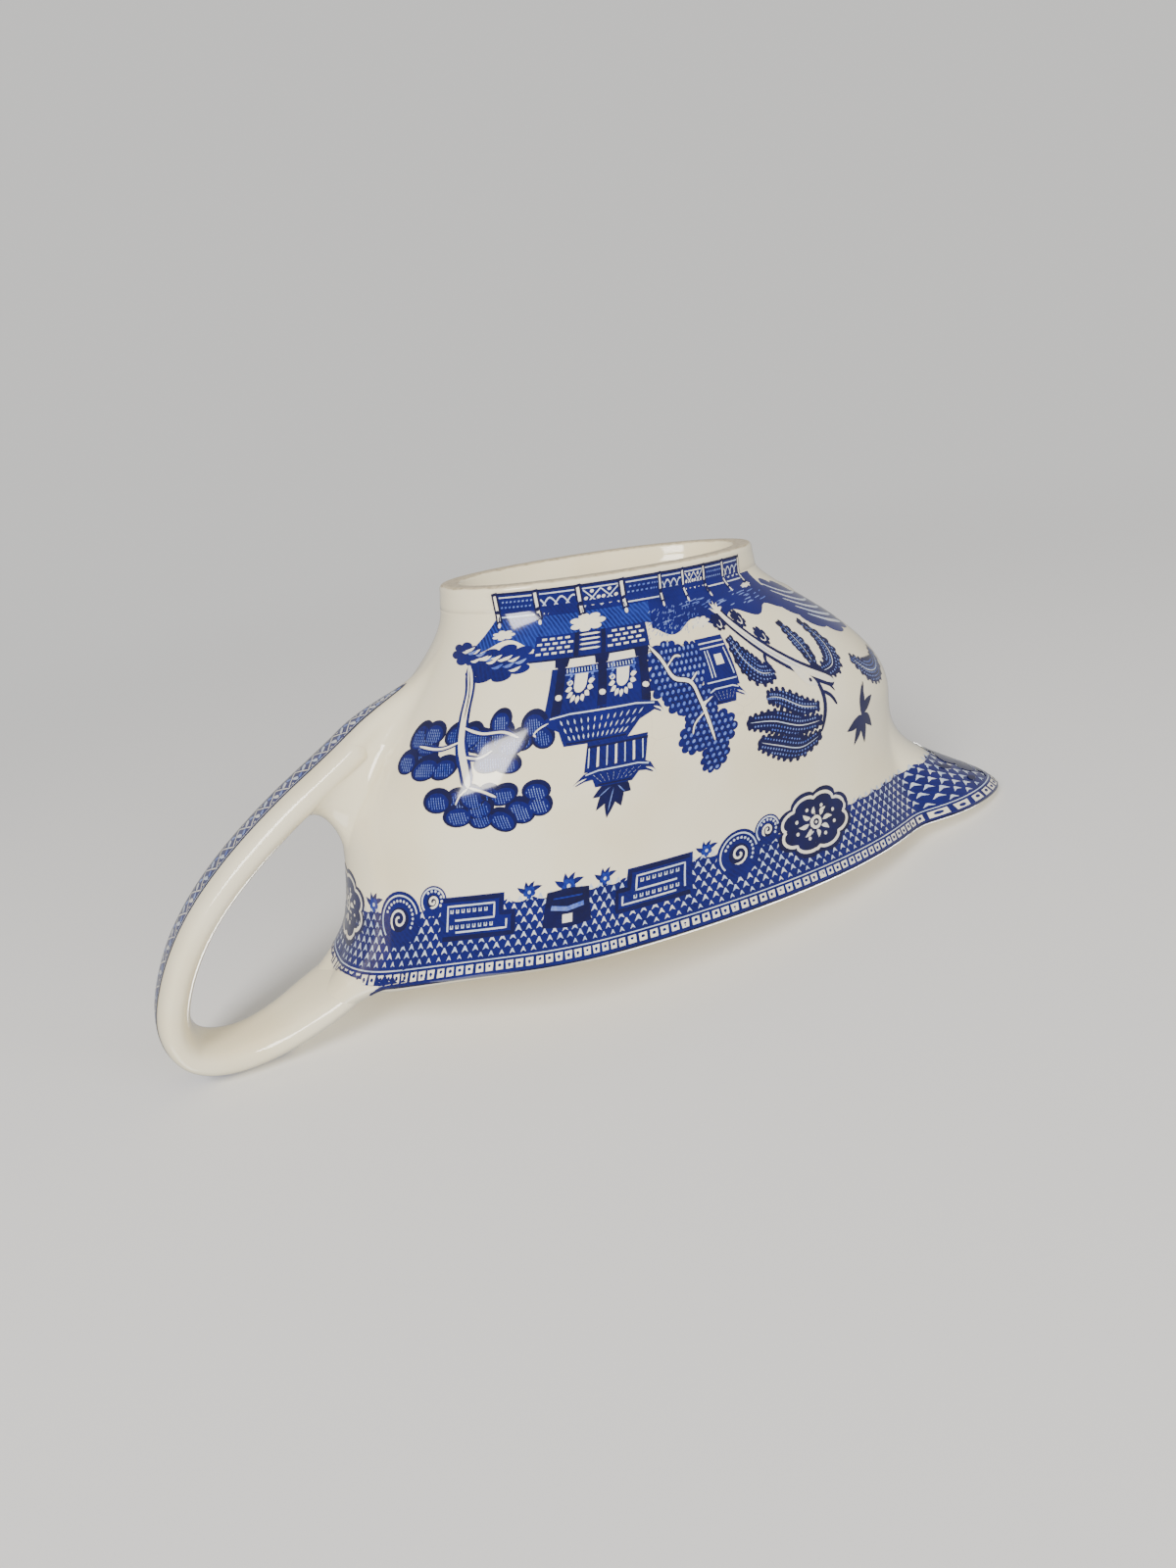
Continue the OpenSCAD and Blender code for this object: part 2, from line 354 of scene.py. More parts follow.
def glaze_material(name, warm=0.0):
    """Cream glaze with slow changes of tone, a faint craze and a few specks."""
    n = Nodes(bpy.data.materials.new(name))
    where = n.coords.outputs["Object"]
    tone = n.ramp(n.noise(where, 38.0, 3.0), 0.35 - warm, 0.75 - warm)
    colour = n.mix(tone, CREAM, CREAM_WARM)
    bend = n.new("TexNoise", {"Vector": where, "Scale": 120.0, "Detail": 1.0}).outputs["Color"]
    bent = n.new("VectorMath", {0: bend, 1: (0.003, 0.003, 0.003)}, operation="MULTIPLY").outputs[0]
    craze_at = n.new("VectorMath", {0: where, 1: bent}, operation="ADD").outputs[0]
    craze = n.new("TexVoronoi", {"Vector": craze_at, "Scale": 130.0}, feature="DISTANCE_TO_EDGE")
    line = n.ramp(craze.outputs["Distance"], 0.012, 0.0)
    patchy = n.ramp(n.noise(where, 22.0), 0.5, 0.72)
    colour = n.mix(n.times(line, patchy, 0.28), colour, CRAZE)
    dots = n.new("TexVoronoi", {"Vector": where, "Scale": 95.0, "Randomness": 1.0})
    dot = n.ramp(dots.outputs["Distance"], 0.04, 0.02)
    rare = n.ramp(n.new("SeparateColor", {"Color": dots.outputs["Color"]}).outputs[0], 0.86, 0.87)
    n.link(n.mix(n.times(dot, rare, 0.55), colour, SPECK), "Base Color")
    gloss(n)
    return n.owner


def foot_material():
    """The same glaze, wiped off the tread, where the biscuit shows with grey wear."""
    n = Nodes(bpy.data.materials.new("foot_glaze"))
    where = n.coords.outputs["Object"]
    height = n.new("SeparateXYZ", {"Vector": where}).outputs[2]
    ragged = n.math("ADD", height, n.times(n.noise(where, 300.0, 3.0), -0.0006))
    bare = n.ramp(ragged, 0.00012, -0.0001)
    tone = n.mix(n.ramp(n.noise(where, 40.0, 3.0), 0.35, 0.75), CREAM, CREAM_WARM)
    worn = n.mix(n.ramp(n.noise(where, 900.0, 4.0), 0.4, 0.7), BISCUIT, CRAZE)
    n.link(n.mix(bare, tone, worn), "Base Color")
    n.link(n.math("ADD", n.times(bare, 0.5), 0.1), "Roughness")
    n.shader.inputs["Coat Weight"].default_value = COAT
    return n.owner


GLAZE = glaze_material("cream_glaze")
SLIP_GLAZE = glaze_material("slip_glaze", warm=0.04)
FOOT_GLAZE = foot_material()


def ink_material(name, ink, soft_ink, share, hatch=0.0):
    """Cobalt under the glaze: uneven, with fine engraved strokes that run with the print."""
    n = Nodes(bpy.data.materials.new(name))
    where = n.coords.outputs["Object"]
    patch = n.ramp(n.noise(where, 160.0, 3.0), 0.3, 0.8)
    grain = n.ramp(n.noise(where, 1500.0), 0.35, 0.75)
    colour = n.mix(n.times(patch, share), ink, soft_ink)
    colour = n.mix(n.times(grain, share * 0.5), colour, soft_ink)
    if hatch:
        strokes = {"Vector": n.coords.outputs["UV"], "Scale": 0.52, "Distortion": 1.6, "Detail": 1.0,
                   "Detail Scale": 1.5}
        wave = n.new("TexWave", strokes, bands_direction="DIAGONAL")
        colour = n.mix(n.times(n.ramp(wave.outputs["Fac"], 0.45, 0.8), hatch), colour, soft_ink)
    n.link(colour, "Base Color")
    gloss(n)
    return n.owner


PRINT_INKS = [ink_material("ink_dark", INK_DARK, INK_DEEP, 0.8),
              ink_material("ink_deep", INK_DEEP, INK_MID, 0.9, 0.4),
              ink_material("ink_mid", INK_MID, INK_SOFT, 0.45, 0.3),
              ink_material("ink_soft", INK_SOFT, INK_PALE, 0.6),
              ink_material("ink_pale", INK_PALE, CREAM, 0.8),
              ink_material("ink_reserve", CREAM, INK_PALE, 0.25),
              ink_material("ink_hatch", INK_DEEP, INK_SOFT, 0.35, 0.55)]


# ---- The bowl ----

def inner_wall(a, z):
    return outer(a, z) - WALL * outward(a, z)


def floor_corner(start, turn):
    """A row of the rounded corner between the wall and the floor, drawn in towards the middle."""
    inset = 1 - 0.22 * (1 - math.cos(turn))
    z = mix(start[:, 2], FLOOR_HEIGHT, math.sin(turn))
    return np.stack([start[:, 0] * inset, start[:, 1] * inset, z], -1)


def disc_rings(edge):
    """Rings from an outline in towards its middle, each one smaller."""
    return [edge * [1 - j / FLOOR_RINGS, 1 - j / FLOOR_RINGS, 1] for j in range(1, FLOOR_RINGS)]


def make_bowl():
    """The cast body: outside, rounded rim, inside, rounded corner, floor and underside."""
    a = bowl_angles()
    spread = np.arange(OUTER_ROWS + 1) / OUTER_ROWS
    under = disc_rings(outer(a, FOOT_HEIGHT))[::-1]
    for j, ring in enumerate(under):
        ring[:, 2] += BASE_RISE * math.cos(math.radians(90 * (FLOOR_RINGS - 1 - j) / FLOOR_RINGS)) ** 2
    heights = FOOT_HEIGHT + (WALL_TOP - FOOT_HEIGHT) * (1 - (1 - spread) ** 1.2)
    rows = under + [outer(a, z) for z in heights]
    quarter = WALL / 2 * math.pi / 2
    for j in range(1, RIM_ROWS):
        rows.append(over_rim(a, mix(quarter, -quarter, j / RIM_ROWS))[0])
    low = FLOOR_HEIGHT + 2 * WALL
    for z in low + (WALL_TOP - low) * (1 - spread[::3] ** 1.2):
        rows.append(inner_wall(a, z))
    start = rows[-1]
    for j in range(1, CORNER_ROWS + 1):
        rows.append(floor_corner(start, math.radians(90 * j / CORNER_ROWS)))
    rows += disc_rings(rows[-1])
    faces = band_faces(len(rows), AROUND)
    floor_mid = len(rows) * AROUND
    last = floor_mid - AROUND
    for k in range(AROUND):
        nxt = (k + 1) % AROUND
        faces.append([last + k, last + nxt, floor_mid])
        faces.append([nxt, k, floor_mid + 1])
    rows.append([[0, 0, FLOOR_HEIGHT], [0, 0, FOOT_HEIGHT + BASE_RISE]])
    return make_mesh("bowl_body", np.concatenate(rows), faces, [GLAZE])


def foot_profile():
    """(inset from the bowl's foot outline, height) round the ring's section, from its outer top."""
    outer_edge, inner_edge = FOOT_LAP, FOOT_LAP + FOOT_TREAD
    points = [(0.0, FOOT_HEIGHT), (0.12, 4.0), (0.3, 2.6), (0.45, 1.6)]
    for j in range(1, 7):
        turn = math.radians(15 * j)
        points.append((0.45 + TREAD_BEND * (1 - math.cos(turn)), TREAD_BEND * (1 - math.sin(turn))))
    points += [(2.4, 0.0), (inner_edge - 1.0, 0.0)]
    for j in range(1, 6):
        turn = math.radians(15 * j)
        points.append((inner_edge - 1.0 + math.sin(turn), 1.0 - math.cos(turn)))
    points += [(inner_edge + 0.25, 2.4), (inner_edge + 0.6, 4.0), (inner_edge + 1.4, 4.9)]
    points += [(inner_edge + 2.6, FOOT_HEIGHT + 0.4), (inner_edge, FOOT_HEIGHT + 1)]
    return points + [(outer_edge, FOOT_HEIGHT + 1)]


def make_foot():
    """The oval ring under the bowl, with a rounded tread. Its top is buried in the bowl's base."""
    a = bowl_angles()
    edge = outer(a, FOOT_HEIGHT)
    flat = unit(outward(a, FOOT_HEIGHT + 0.1) * [1, 1, 0])
    rows = []
    for inset, z in foot_profile():
        row = edge - inset * flat
        row[:, 2] = z
        rows.append(row)
    faces = band_faces(len(rows), AROUND, closed=True)
    return make_mesh("foot", np.concatenate(rows[::-1]), faces, [FOOT_GLAZE])


# ---- The handle's strap ----

def smooth_strap_line():
    """The strap's middle line, evened out so that its curvature changes gently."""
    t = np.linspace(0, 1, 561)
    line = catmull(STRAP_LINE, t)
    half = 22
    weights = np.exp(-0.5 * (np.arange(-half, half + 1) / 9.0) ** 2)
    weights /= weights.sum()
    before, after = 2 * line[0] - line[half:0:-1], 2 * line[-1] - line[-2:-half - 2:-1]
    padded = np.concatenate([before, line, after])
    return np.stack([np.convolve(padded[:, i], weights, "valid") for i in (0, 1)], -1)


STRAP_SMOOTH = smooth_strap_line()


def strap_mid(t):
    at = np.asarray(t, float) * (len(STRAP_SMOOTH) - 1)
    grid = np.arange(len(STRAP_SMOOTH))
    x, z = np.interp(at, grid, STRAP_SMOOTH[:, 0]), np.interp(at, grid, STRAP_SMOOTH[:, 1])
    return np.stack([x, np.zeros_like(x), z], -1)


def strap_along(t):
    t = np.asarray(t, float)
    return unit(strap_mid(np.minimum(1, t + 0.01)) - strap_mid(np.maximum(0, t - 0.01)))


def strap_out(t):
    return np.cross(strap_along(t), [0.0, 1.0, 0.0])


def strap_half_width(t):
    narrow = 1 - 0.5 * smooth((STRAP_TAPER_END - t) / 0.2)
    return STRAP_HALF_WIDTH * narrow + STRAP_SPREAD * smooth((t - STRAP_SPREAD_START) / 0.2)


def strap_half_thick(t):
    return STRAP_HALF_THICK * (1 - 0.35 * smooth((0.2 - t) / 0.2) - 0.25 * smooth((t - 0.85) / 0.15))


def strap_surface(t, turn, shrink=1.0):
    """Points and normals on the strap at t along it and turn degrees round its section."""
    t, turn = np.broadcast_arrays(np.asarray(t, float), np.asarray(turn, float))
    c, s = np.cos(np.radians(turn)), np.sin(np.radians(turn))
    wide = strap_half_width(t) * shrink
    thick = strap_half_thick(t) * shrink
    out = strap_out(t)
    side = np.array([0.0, 1.0, 0.0])
    across = (wide * np.sign(c) * np.abs(c) ** SECTION_POWER)[..., None]
    away = (thick * np.sign(s) * np.abs(s) ** SECTION_POWER)[..., None]
    lean = (np.sign(c) * np.abs(c) ** (2 - SECTION_POWER) / wide)[..., None]
    face = (np.sign(s) * np.abs(s) ** (2 - SECTION_POWER) / thick)[..., None]
    return strap_mid(t) + side * across + out * away, unit(side * lean + out * face)


# The strap's ends are hidden in its joints. Below HIDDEN_TIP it shrinks to stay inside the slip.
HIDDEN_TIP = 0.195
HIDDEN_SHRINK = 0.62
STRAP_BEGIN = 0.145
STRAP_END = 0.955


def make_strap():
    """The strap from inside its lower joint to inside the bowl's wall at the rim."""
    t = np.linspace(STRAP_BEGIN, STRAP_END, STRAP_RINGS + 1)[:, None]
    turn = (np.arange(STRAP_AROUND) + 0.5) * 360 / STRAP_AROUND
    shrink = 1 - HIDDEN_SHRINK * smooth((HIDDEN_TIP - t) / 0.03)
    points, _ = strap_surface(t, turn[None, :], shrink)
    flat = points.reshape(-1, 3)
    faces = band_faces(STRAP_RINGS + 1, STRAP_AROUND)
    last = STRAP_RINGS * STRAP_AROUND
    faces.append(list(range(STRAP_AROUND - 1, -1, -1)))
    faces.append([last + k for k in range(STRAP_AROUND)])
    return make_mesh("handle_strap", flat, faces, [GLAZE])


# ---- The luting slip at the two joints ----

SLIP_AROUND = 160
SLIP_LIFT = 0.012
SLIP_EASE = 8
UPPER_START = 0.775
UPPER_HALF_WIDTH = 23.0
LOWER_START = 0.235
LOWER_HALF_WIDTH = 10.5
LOWER_V = 28.0


def toward(points, normals, target):
    """Unit directions along the surface from each point to the target."""
    way = target - points
    return unit(way - (way * normals).sum(-1, keepdims=True) * normals)


def slip_shell(name, start, start_normal, start_way, end, end_normal, end_way, pulls, material):
    """A closed skin of slip whose outside leaves one surface and lands on another without a step."""
    gap = np.linalg.norm(end - start, axis=-1, keepdims=True)
    f = np.linspace(0, 1, SHELL_ROWS + 1)[:, None, None]
    b1 = start + start_way * gap * pulls[0]
    b2 = end + end_way * gap * pulls[1]
    outside_rows = (start * (1 - f) ** 3 + 3 * b1 * f * (1 - f) ** 2
                    + 3 * b2 * f ** 2 * (1 - f) + end * f ** 3)
    normals = grid_normals(outside_rows)
    inward = (normals[0] * start_normal).sum() < 0
    if inward:
        normals = -normals
    ease = smooth(1 - f * SLIP_EASE)
    normals = unit(mix(normals, start_normal[None], ease))
    ease = smooth(1 - (1 - f) * SLIP_EASE)
    normals = unit(mix(normals, end_normal[None], ease))
    outside_rows = outside_rows + normals * SLIP_LIFT
    depth = 0.5 + 0.8 * np.sin(np.pi * f)
    inside_rows = outside_rows - normals * depth
    count = outside_rows.shape[1]
    rows = np.concatenate([outside_rows, inside_rows[::-1]])
    all_normals = np.concatenate([normals, -normals[::-1]])
    faces = band_faces(len(rows), count, closed=True)
    if inward:
        faces = [face[::-1] for face in faces]
    return make_mesh(name, rows.reshape(-1, 3), faces, [material], normals=all_normals.reshape(-1, 3))


def rear_angle(y, v):
    """The bowl's angle behind the middle where its outside is y to the side, at height v."""
    power = mix(REAR_POWER, 1.0, smooth(v / RIM_HEIGHT))
    away = np.arcsin(clip01(np.abs(y) / half_width(v)) ** (1 / power))
    return 180 - np.degrees(away) * np.sign(y)


def make_upper_joint():
    """Slip that spreads from the strap onto the rim and down the wall beneath it."""
    turn = (np.arange(SLIP_AROUND) + 0.5) * 360 / SLIP_AROUND
    c, s = np.cos(np.radians(turn)), np.sin(np.radians(turn))
    t = UPPER_START + 0.02 * s
    start, start_normal = strap_surface(t, turn)
    y = UPPER_HALF_WIDTH * np.sign(c) * np.abs(c) ** 0.85
    w = np.where(s < 0, 1.6 + 11.5 * np.abs(s) ** 1.3, 1.6 - 3.2 * np.abs(s))
    end, end_normal = over_rim(rear_angle(y, WALL_TOP - np.maximum(w - 2.7, 0)), w)
    root = strap_mid(0.93)
    return slip_shell("upper_joint_slip", start, start_normal, strap_along(t), end, end_normal,
                      toward(end, end_normal, root), (0.45, 0.45), SLIP_GLAZE)


def make_lower_joint():
    """Slip round the strap's lower end: a long tip down the wall and a soft crotch above."""
    turn = (np.arange(SLIP_AROUND) + 0.5) * 360 / SLIP_AROUND
    c, s = np.cos(np.radians(turn)), np.sin(np.radians(turn))
    t = LOWER_START - 0.045 * s
    start, start_normal = strap_surface(t, turn)
    y = LOWER_HALF_WIDTH * np.sign(c) * np.abs(c) ** 0.9
    v = np.where(s > 0, LOWER_V - 19.5 * np.abs(s) ** 1.1, LOWER_V + 21.0 * np.abs(s) ** 1.2)
    a = rear_angle(y * np.where(s > 0, 1 - 0.45 * np.abs(s), 1.0), v)
    end, end_normal = outer(a, v), outward(a, v)
    root = outer(180.0, 29.0)
    return slip_shell("lower_joint_slip", start, start_normal, -strap_along(t), end, end_normal,
                      toward(end, end_normal, root), (0.4, 0.4), SLIP_GLAZE)


# ---- Drawing the transfer prints ----
#
# A print is drawn flat, in millimetres: u runs along the bowl and v up it. Then it is laid on
# the glaze in thin films, so that each ink has its own edge. Higher levels lie over lower ones.

FILM_BASE = 0.02
FILM_GAP = 0.012
FINE = 0.75
COARSE = 1.3
FINE_FILL_U = -32
FINE_LINE_U = -40
LINE_STEP = 0.9
LEVEL_STAGGER = 0.12


def open_curve(points, step=0.5):
    """A smooth open path through the points."""
    p = np.asarray(points, float)
    length = np.linalg.norm(np.diff(p, axis=0), axis=1).sum()
    return catmull(p, np.linspace(0, 1, max(len(p), int(length / step) + 2)))


def polar(x, y, turn, rx, ry=None):
    """The point turn degrees round a circle or an ellipse about (x, y)."""
    a = math.radians(turn)
    return x + rx * math.cos(a), y + (rx if ry is None else ry) * math.sin(a)


def leaning(x, y, px, py, lean):
    """Points about (x, y), turned by lean degrees."""
    c, s = math.cos(math.radians(lean)), math.sin(math.radians(lean))
    return np.stack([x + px * c - py * s, y + px * s + py * c], -1)


def ellipse(x, y, rx, ry=None, lean=0.0, parts=None):
    ry = rx if ry is None else ry
    parts = parts or max(10, int(18 * max(rx, ry) ** 0.5))
    turn = np.arange(parts) * 2 * math.pi / parts
    return leaning(x, y, rx * np.cos(turn), ry * np.sin(turn), lean)


def inside(outline, points):
    """Which of the points lie inside the outline."""
    x, y = points[:, 0], points[:, 1]
    found = np.zeros(len(points), bool)
    for (x0, y0), (x1, y1) in zip(outline, np.roll(outline, -1, axis=0)):
        if y0 != y1:
            crosses = (y0 > y) != (y1 > y)
            found ^= crosses & (x < (x1 - x0) * (y - y0) / (y1 - y0) + x0)
    return found


def split_edges(outline, step):
    """A closed outline with points added so that none of its edges is longer than step."""
    out = []
    for p, q in zip(outline, np.roll(outline, -1, axis=0)):
        parts = max(1, int(math.ceil(np.linalg.norm(q - p) / step)))
        out.append(p + (q - p) * (np.arange(parts) / parts)[:, None])
    return np.concatenate(out)


def lattice_points(outline, pitch, row_height=None, inset=0.0):
    """Points of a staggered lattice inside an outline."""
    row_height = row_height or pitch * 0.87
    low, high = outline.min(0), outline.max(0)
    found = []
    first_row = math.floor(low[1] / row_height)
    for j in range(first_row, int(high[1] / row_height) + 1):
        x = np.arange(math.floor(low[0] / pitch), high[0] / pitch + 1) * pitch + (j % 2) * pitch / 2
        found.append(np.stack([x, np.full(len(x), j * row_height)], -1))
    found = np.concatenate(found)
    found = found[inside(outline, found)]
    if inset and len(found):
        edge = split_edges(outline, 0.6)
        gap = np.linalg.norm(found[:, None] - edge[None], axis=-1).min(1)
        found = found[gap > inset]
    return found


class Sheet:
    """One flat print: filled shapes and strokes, each with an ink and a level."""

    def __init__(self):
        self.points = []
        self.faces = []
        self.inks = []
        self.levels = []
        self.count = 0
        self.level = 0

    def add(self, points, faces, ink):
        self.points.append(np.asarray(points, float))
        self.faces += [[self.count + i for i in face] for face in faces]
        self.inks += [INKS.index(ink)] * len(faces)
        lift = self.level + LEVEL_STAGGER * (len(self.points) % 5)
        self.levels.append(np.full(len(points), lift))
        self.count += len(points)

    def fill(self, outline, ink):
        """A filled shape, triangulated finely enough to follow the bowl's curves."""
        outline = np.asarray(outline, float)
        size = (outline.max(0) - outline.min(0)).max()
        step = FINE if outline[:, 0].min() < FINE_FILL_U else COARSE
        if size < step * 1.5 and len(outline) <= 12:
            self.add(np.concatenate([outline, [outline.mean(0)]]),
                     [[i, (i + 1) % len(outline), len(outline)] for i in range(len(outline))], ink)
            return
        outline = split_edges(outline, step)
        within = lattice_points(outline, step, inset=step * 0.4) if size > step else outline[:0]
        points = [Vector(p) for p in np.concatenate([outline, within])]
        made = geometry.delaunay_2d_cdt(points, [], [list(range(len(outline)))], 1, 1e-5)
        self.add([list(p) for p in made[0]], made[2], ink)

    def line(self, path, width, ink, tip=0.0):
        """A stroke along a path. tip is the share of it that narrows to a point at each end."""
        path = np.asarray(path, float)
        step = FINE if path[:, 0].min() < FINE_LINE_U else LINE_STEP
        dense = [path[:1]]
        for p, q in zip(path[:-1], path[1:]):
            parts = max(1, int(math.ceil(np.linalg.norm(q - p) / step)))
            dense.append(p + (q - p) * (np.arange(1, parts + 1) / parts)[:, None])
        dense = np.concatenate(dense)
        way = unit(np.gradient(dense, axis=0))
        side = np.stack([-way[:, 1], way[:, 0]], -1)
        wide = np.full(len(dense), width / 2)
        if tip:
            f = np.linspace(0, 1, len(dense))
            wide *= 0.12 + 0.88 * np.sqrt(clip01(np.minimum(f, 1 - f) / tip))
        left, right = dense + side * wide[:, None], dense - side * wide[:, None]
        if width > COARSE:
            self.fill(np.concatenate([left, right[::-1]]), ink)
            return
        points = np.concatenate([left, right])
        n = len(dense)
        self.add(points, [[i + 1, i, n + i, n + i + 1] for i in range(n - 1)], ink)

    def curve(self, points, width, ink, tip=0.0):
        self.line(open_curve(points), width, ink, tip)

    def dot(self, x, y, r, ink, ry=None, lean=0.0, parts=10):
        self.fill(ellipse(x, y, r, ry, lean, parts), ink)

    def leaf(self, x0, y0, x1, y1, width, ink, bend=0.0):
        """A pointed leaf from one point to another."""
        start, end = np.array([x0, y0], float), np.array([x1, y1], float)
        way = end - start
        side = np.array([-way[1], way[0]]) / max(np.linalg.norm(way), 1e-6)
        f = np.linspace(0, 1, 9)[:, None]
        middle = start + way * f + side * bend * 4 * f * (1 - f)
        wide = width / 2 * np.sin(np.pi * f ** 0.8)
        self.fill(np.concatenate([middle + side * wide, (middle - side * wide)[-2:0:-1]]), ink)

    def spiral(self, x, y, r, turns, width, ink, start=0.0, inner=0.15, hand=1):
        f = np.linspace(0, 1, int(14 * turns) + 4)
        turn = math.radians(start) + hand * f * turns * 2 * math.pi
        away = r * mix(1.0, inner, f)
        self.line(np.stack([x + away * np.cos(turn), y + away * np.sin(turn)], -1), width, ink, 0.06)

    def ring(self, x, y, r, width, ink, start=0.0, stop=360.0):
        parts = max(8, int(abs(stop - start) / 14 * max(r, 1) ** 0.5))
        turn = np.radians(np.linspace(start, stop, parts))
        self.line(np.stack([x + r * np.cos(turn), y + r * np.sin(turn)], -1), width, ink)

    def block(self, x0, y0, x1, y1, ink):
        self.fill([(x0, y0), (x1, y0), (x1, y1), (x0, y1)], ink)

    def spray(self, x, y, rays, width, ink, bend=0.0, tall=1.0):
        """Leaves that spread from one point. A ray is a direction in degrees and a length."""
        for turn, length in rays:
            self.leaf(x, y, *polar(x, y, turn, length, length * tall), width, ink, bend)

    def at(self, level):
        """Sets the level that the next shapes lie on."""
        self.level = level
        return self


# ---- The side scene: stock garden motifs, drawn afresh ----
#
# A fence along the foot, a terrace with a pavilion, a hut, a willow and two kinds of tree.

INKS = ["dark", "deep", "mid", "soft", "pale", "white", "hatch"]
FENCE_LOW = 1.8
FENCE_HIGH = 6.6
FENCE_PITCH = 12.4
FENCE_FIRST = -43.4
FENCE_PANELS = 8
TERRACE_V = 14.6
BRICK_ROWS = 4
BRICK_HIGH = 0.85
PAVILION_TOP = 24.6


def mirrored(x, points):
    """An outline from its right half, given as distances from the middle line at x."""
    return [(x + dx, y) for dx, y in points] + [(x - dx, y) for dx, y in points[::-1]]


def cloud(x, y, rx, ry, lobes, depth=0.16, lean=0.0):
    """A lobed outline, as for a tree's crown."""
    turn = np.linspace(0, 2 * math.pi, lobes * 8, endpoint=False)
    swell = 1 - depth + depth * np.abs(np.sin(turn * lobes / 2)) ** 0.7 * 1.6
    return leaning(x, y, rx * swell * np.cos(turn), ry * swell * np.sin(turn), lean)


def draw_panel(s, x0, x1, kind):
    """One fence panel: crossed bars and petals, rows of dashes, or two waves."""
    low, high, mid = FENCE_LOW, FENCE_HIGH, (FENCE_LOW + FENCE_HIGH) / 2
    s.at(3).block(x0, low - 0.5, x1, high, "deep")
    s.at(4).line([(x0, low - 0.3), (x1, low - 0.3)], 0.5, "dark")
    for y in (high - 0.5, low + 0.4):
        s.line([(x0 + 1, y), (x1 - 1, y)], 0.26, "pale")
    if kind == 0:
        for a, b in ((x0 + 1.2, (x0 + x1) / 2), ((x0 + x1) / 2, x1 - 1.2)):
            s.line([(a, low + 0.7), (b, high - 0.8)], 0.3, "pale")
            s.line([(a, high - 0.8), (b, low + 0.7)], 0.3, "pale")
            centre = (a + b) / 2
            for x, y in ((a + 0.7, mid), (centre, high - 1.2), (centre, low + 1.1), (b - 0.7, mid)):
                s.dot(x, y, 0.62, "white", 0.36, 8.0, 6)
    if kind == 1:
        for row in range(3):
            y = low + 1.3 + row * 1.05
            for x in np.arange(x0 + 1.2 + 0.5 * (row % 2), x1 - 1.6, 1.25):
                s.line([(x, y), (x + 0.6, y + 0.1)], 0.32, "soft")
    if kind == 2:
        x = np.linspace(x0 + 1.2, x1 - 1.2, 26)
        for flip in (1, -1):
            s.line(np.stack([x, mid + flip * 1.1 * np.sin((x - x0) * math.pi / 3.4)], -1), 0.34, "pale")


def draw_fence(s):
    """Panels of three kinds in turn, with a rounded post at each end of them."""
    posts = [FENCE_FIRST + FENCE_PITCH * j for j in range(FENCE_PANELS + 1)]
    for j, (x0, x1) in enumerate(zip(posts[:-1], posts[1:])):
        draw_panel(s, x0, x1, (2, 1, 0)[j % 3])
    for x in posts:
        s.at(5).line([(x - 0.4, FENCE_HIGH + 0.6), (x + 0.4, FENCE_LOW - 0.6)], 2.0, "dark")
        s.at(6).line([(x - 0.35, FENCE_HIGH + 0.2), (x + 0.3, FENCE_LOW)], 0.85, "white")
        s.dot(x - 0.4, FENCE_HIGH + 1.0, 0.5, "white", parts=8)


def draw_ground(s):
    """Two banks of ground behind the fence, with dashes of grass and pale clearings."""
    left, middle, right = -52.0, 12.0, 64.0
    banks = ((left, middle, 0, "deep", 12.4), (middle, right, 9, "hatch", 11.4))
    for x0, x1, slant, ink, height in banks:
        x = np.linspace(x0, x1, 42)
        top = height + 1.1 * np.sin(x * 0.33) + 1.4 * np.exp(-((x + 46) / 4) ** 2)
        s.at(0).fill(np.concatenate([np.stack([x, top], -1), [[x1 - slant, 5.2], [x0, 5.2]]]), ink)
    s.level = 1
    rnd = random.Random(11)
    for _ in range(46):
        x, y = rnd.uniform(left + 4, middle - 8), rnd.uniform(7.6, 10.8)
        s.line([(x, y), (x + rnd.uniform(1.5, 5), y + 0.2)], 0.15, "soft", 0.3)
    for _ in range(110):
        x, y = rnd.uniform(-8, 13), rnd.uniform(8, 13.4)
        s.line([(x, y), (x + 0.5, y + 0.35)], 0.13, "soft")
    for clearing in ((29.5, 8.6, 4.6, 1.5), (-7.2, 12.2, 3.6, 0.9), (-42, 7.6, 3.4, 0.4),
                     (54, 9.4, 3.2, 0.8)):
        s.fill(cloud(*clearing, 7, 0.22, 2), "white")


def draw_bricks(s, x0, x1):
    for row in range(BRICK_ROWS):
        y = 13.4 - row * BRICK_HIGH
        for x in np.arange(x0 + 0.9 * (row % 2), x1 - 1.3, 2.15):
            s.line([(x, y), (x + 1.35, y)], 0.38, "white")


def draw_terrace(s):
    """A brick terrace with steps in its middle, and a pale floor on it."""
    s.at(2).fill([(13, TERRACE_V), (44.5, TERRACE_V), (44, 10.2), (13.6, 10.2)], "deep")
    paving = [(13.4, TERRACE_V + 1.5), (41, TERRACE_V + 1.7), (45, TERRACE_V), (13, TERRACE_V)]
    s.at(3).fill(paving, "white")
    s.at(4).line([(13, TERRACE_V), (45, TERRACE_V)], 0.34, "dark")
    draw_bricks(s, 14.2, 24.4)
    draw_bricks(s, 33.6, 43.8)
    for row in range(BRICK_ROWS):
        y = 13.3 - row * BRICK_HIGH
        s.line([(26.2, y), (31.8, y)], 0.34, "white", 0.1)
    for x in (25.3, 32.6):
        s.line([(x, TERRACE_V - 0.2), (x, 10.2)], 1.2, "dark")


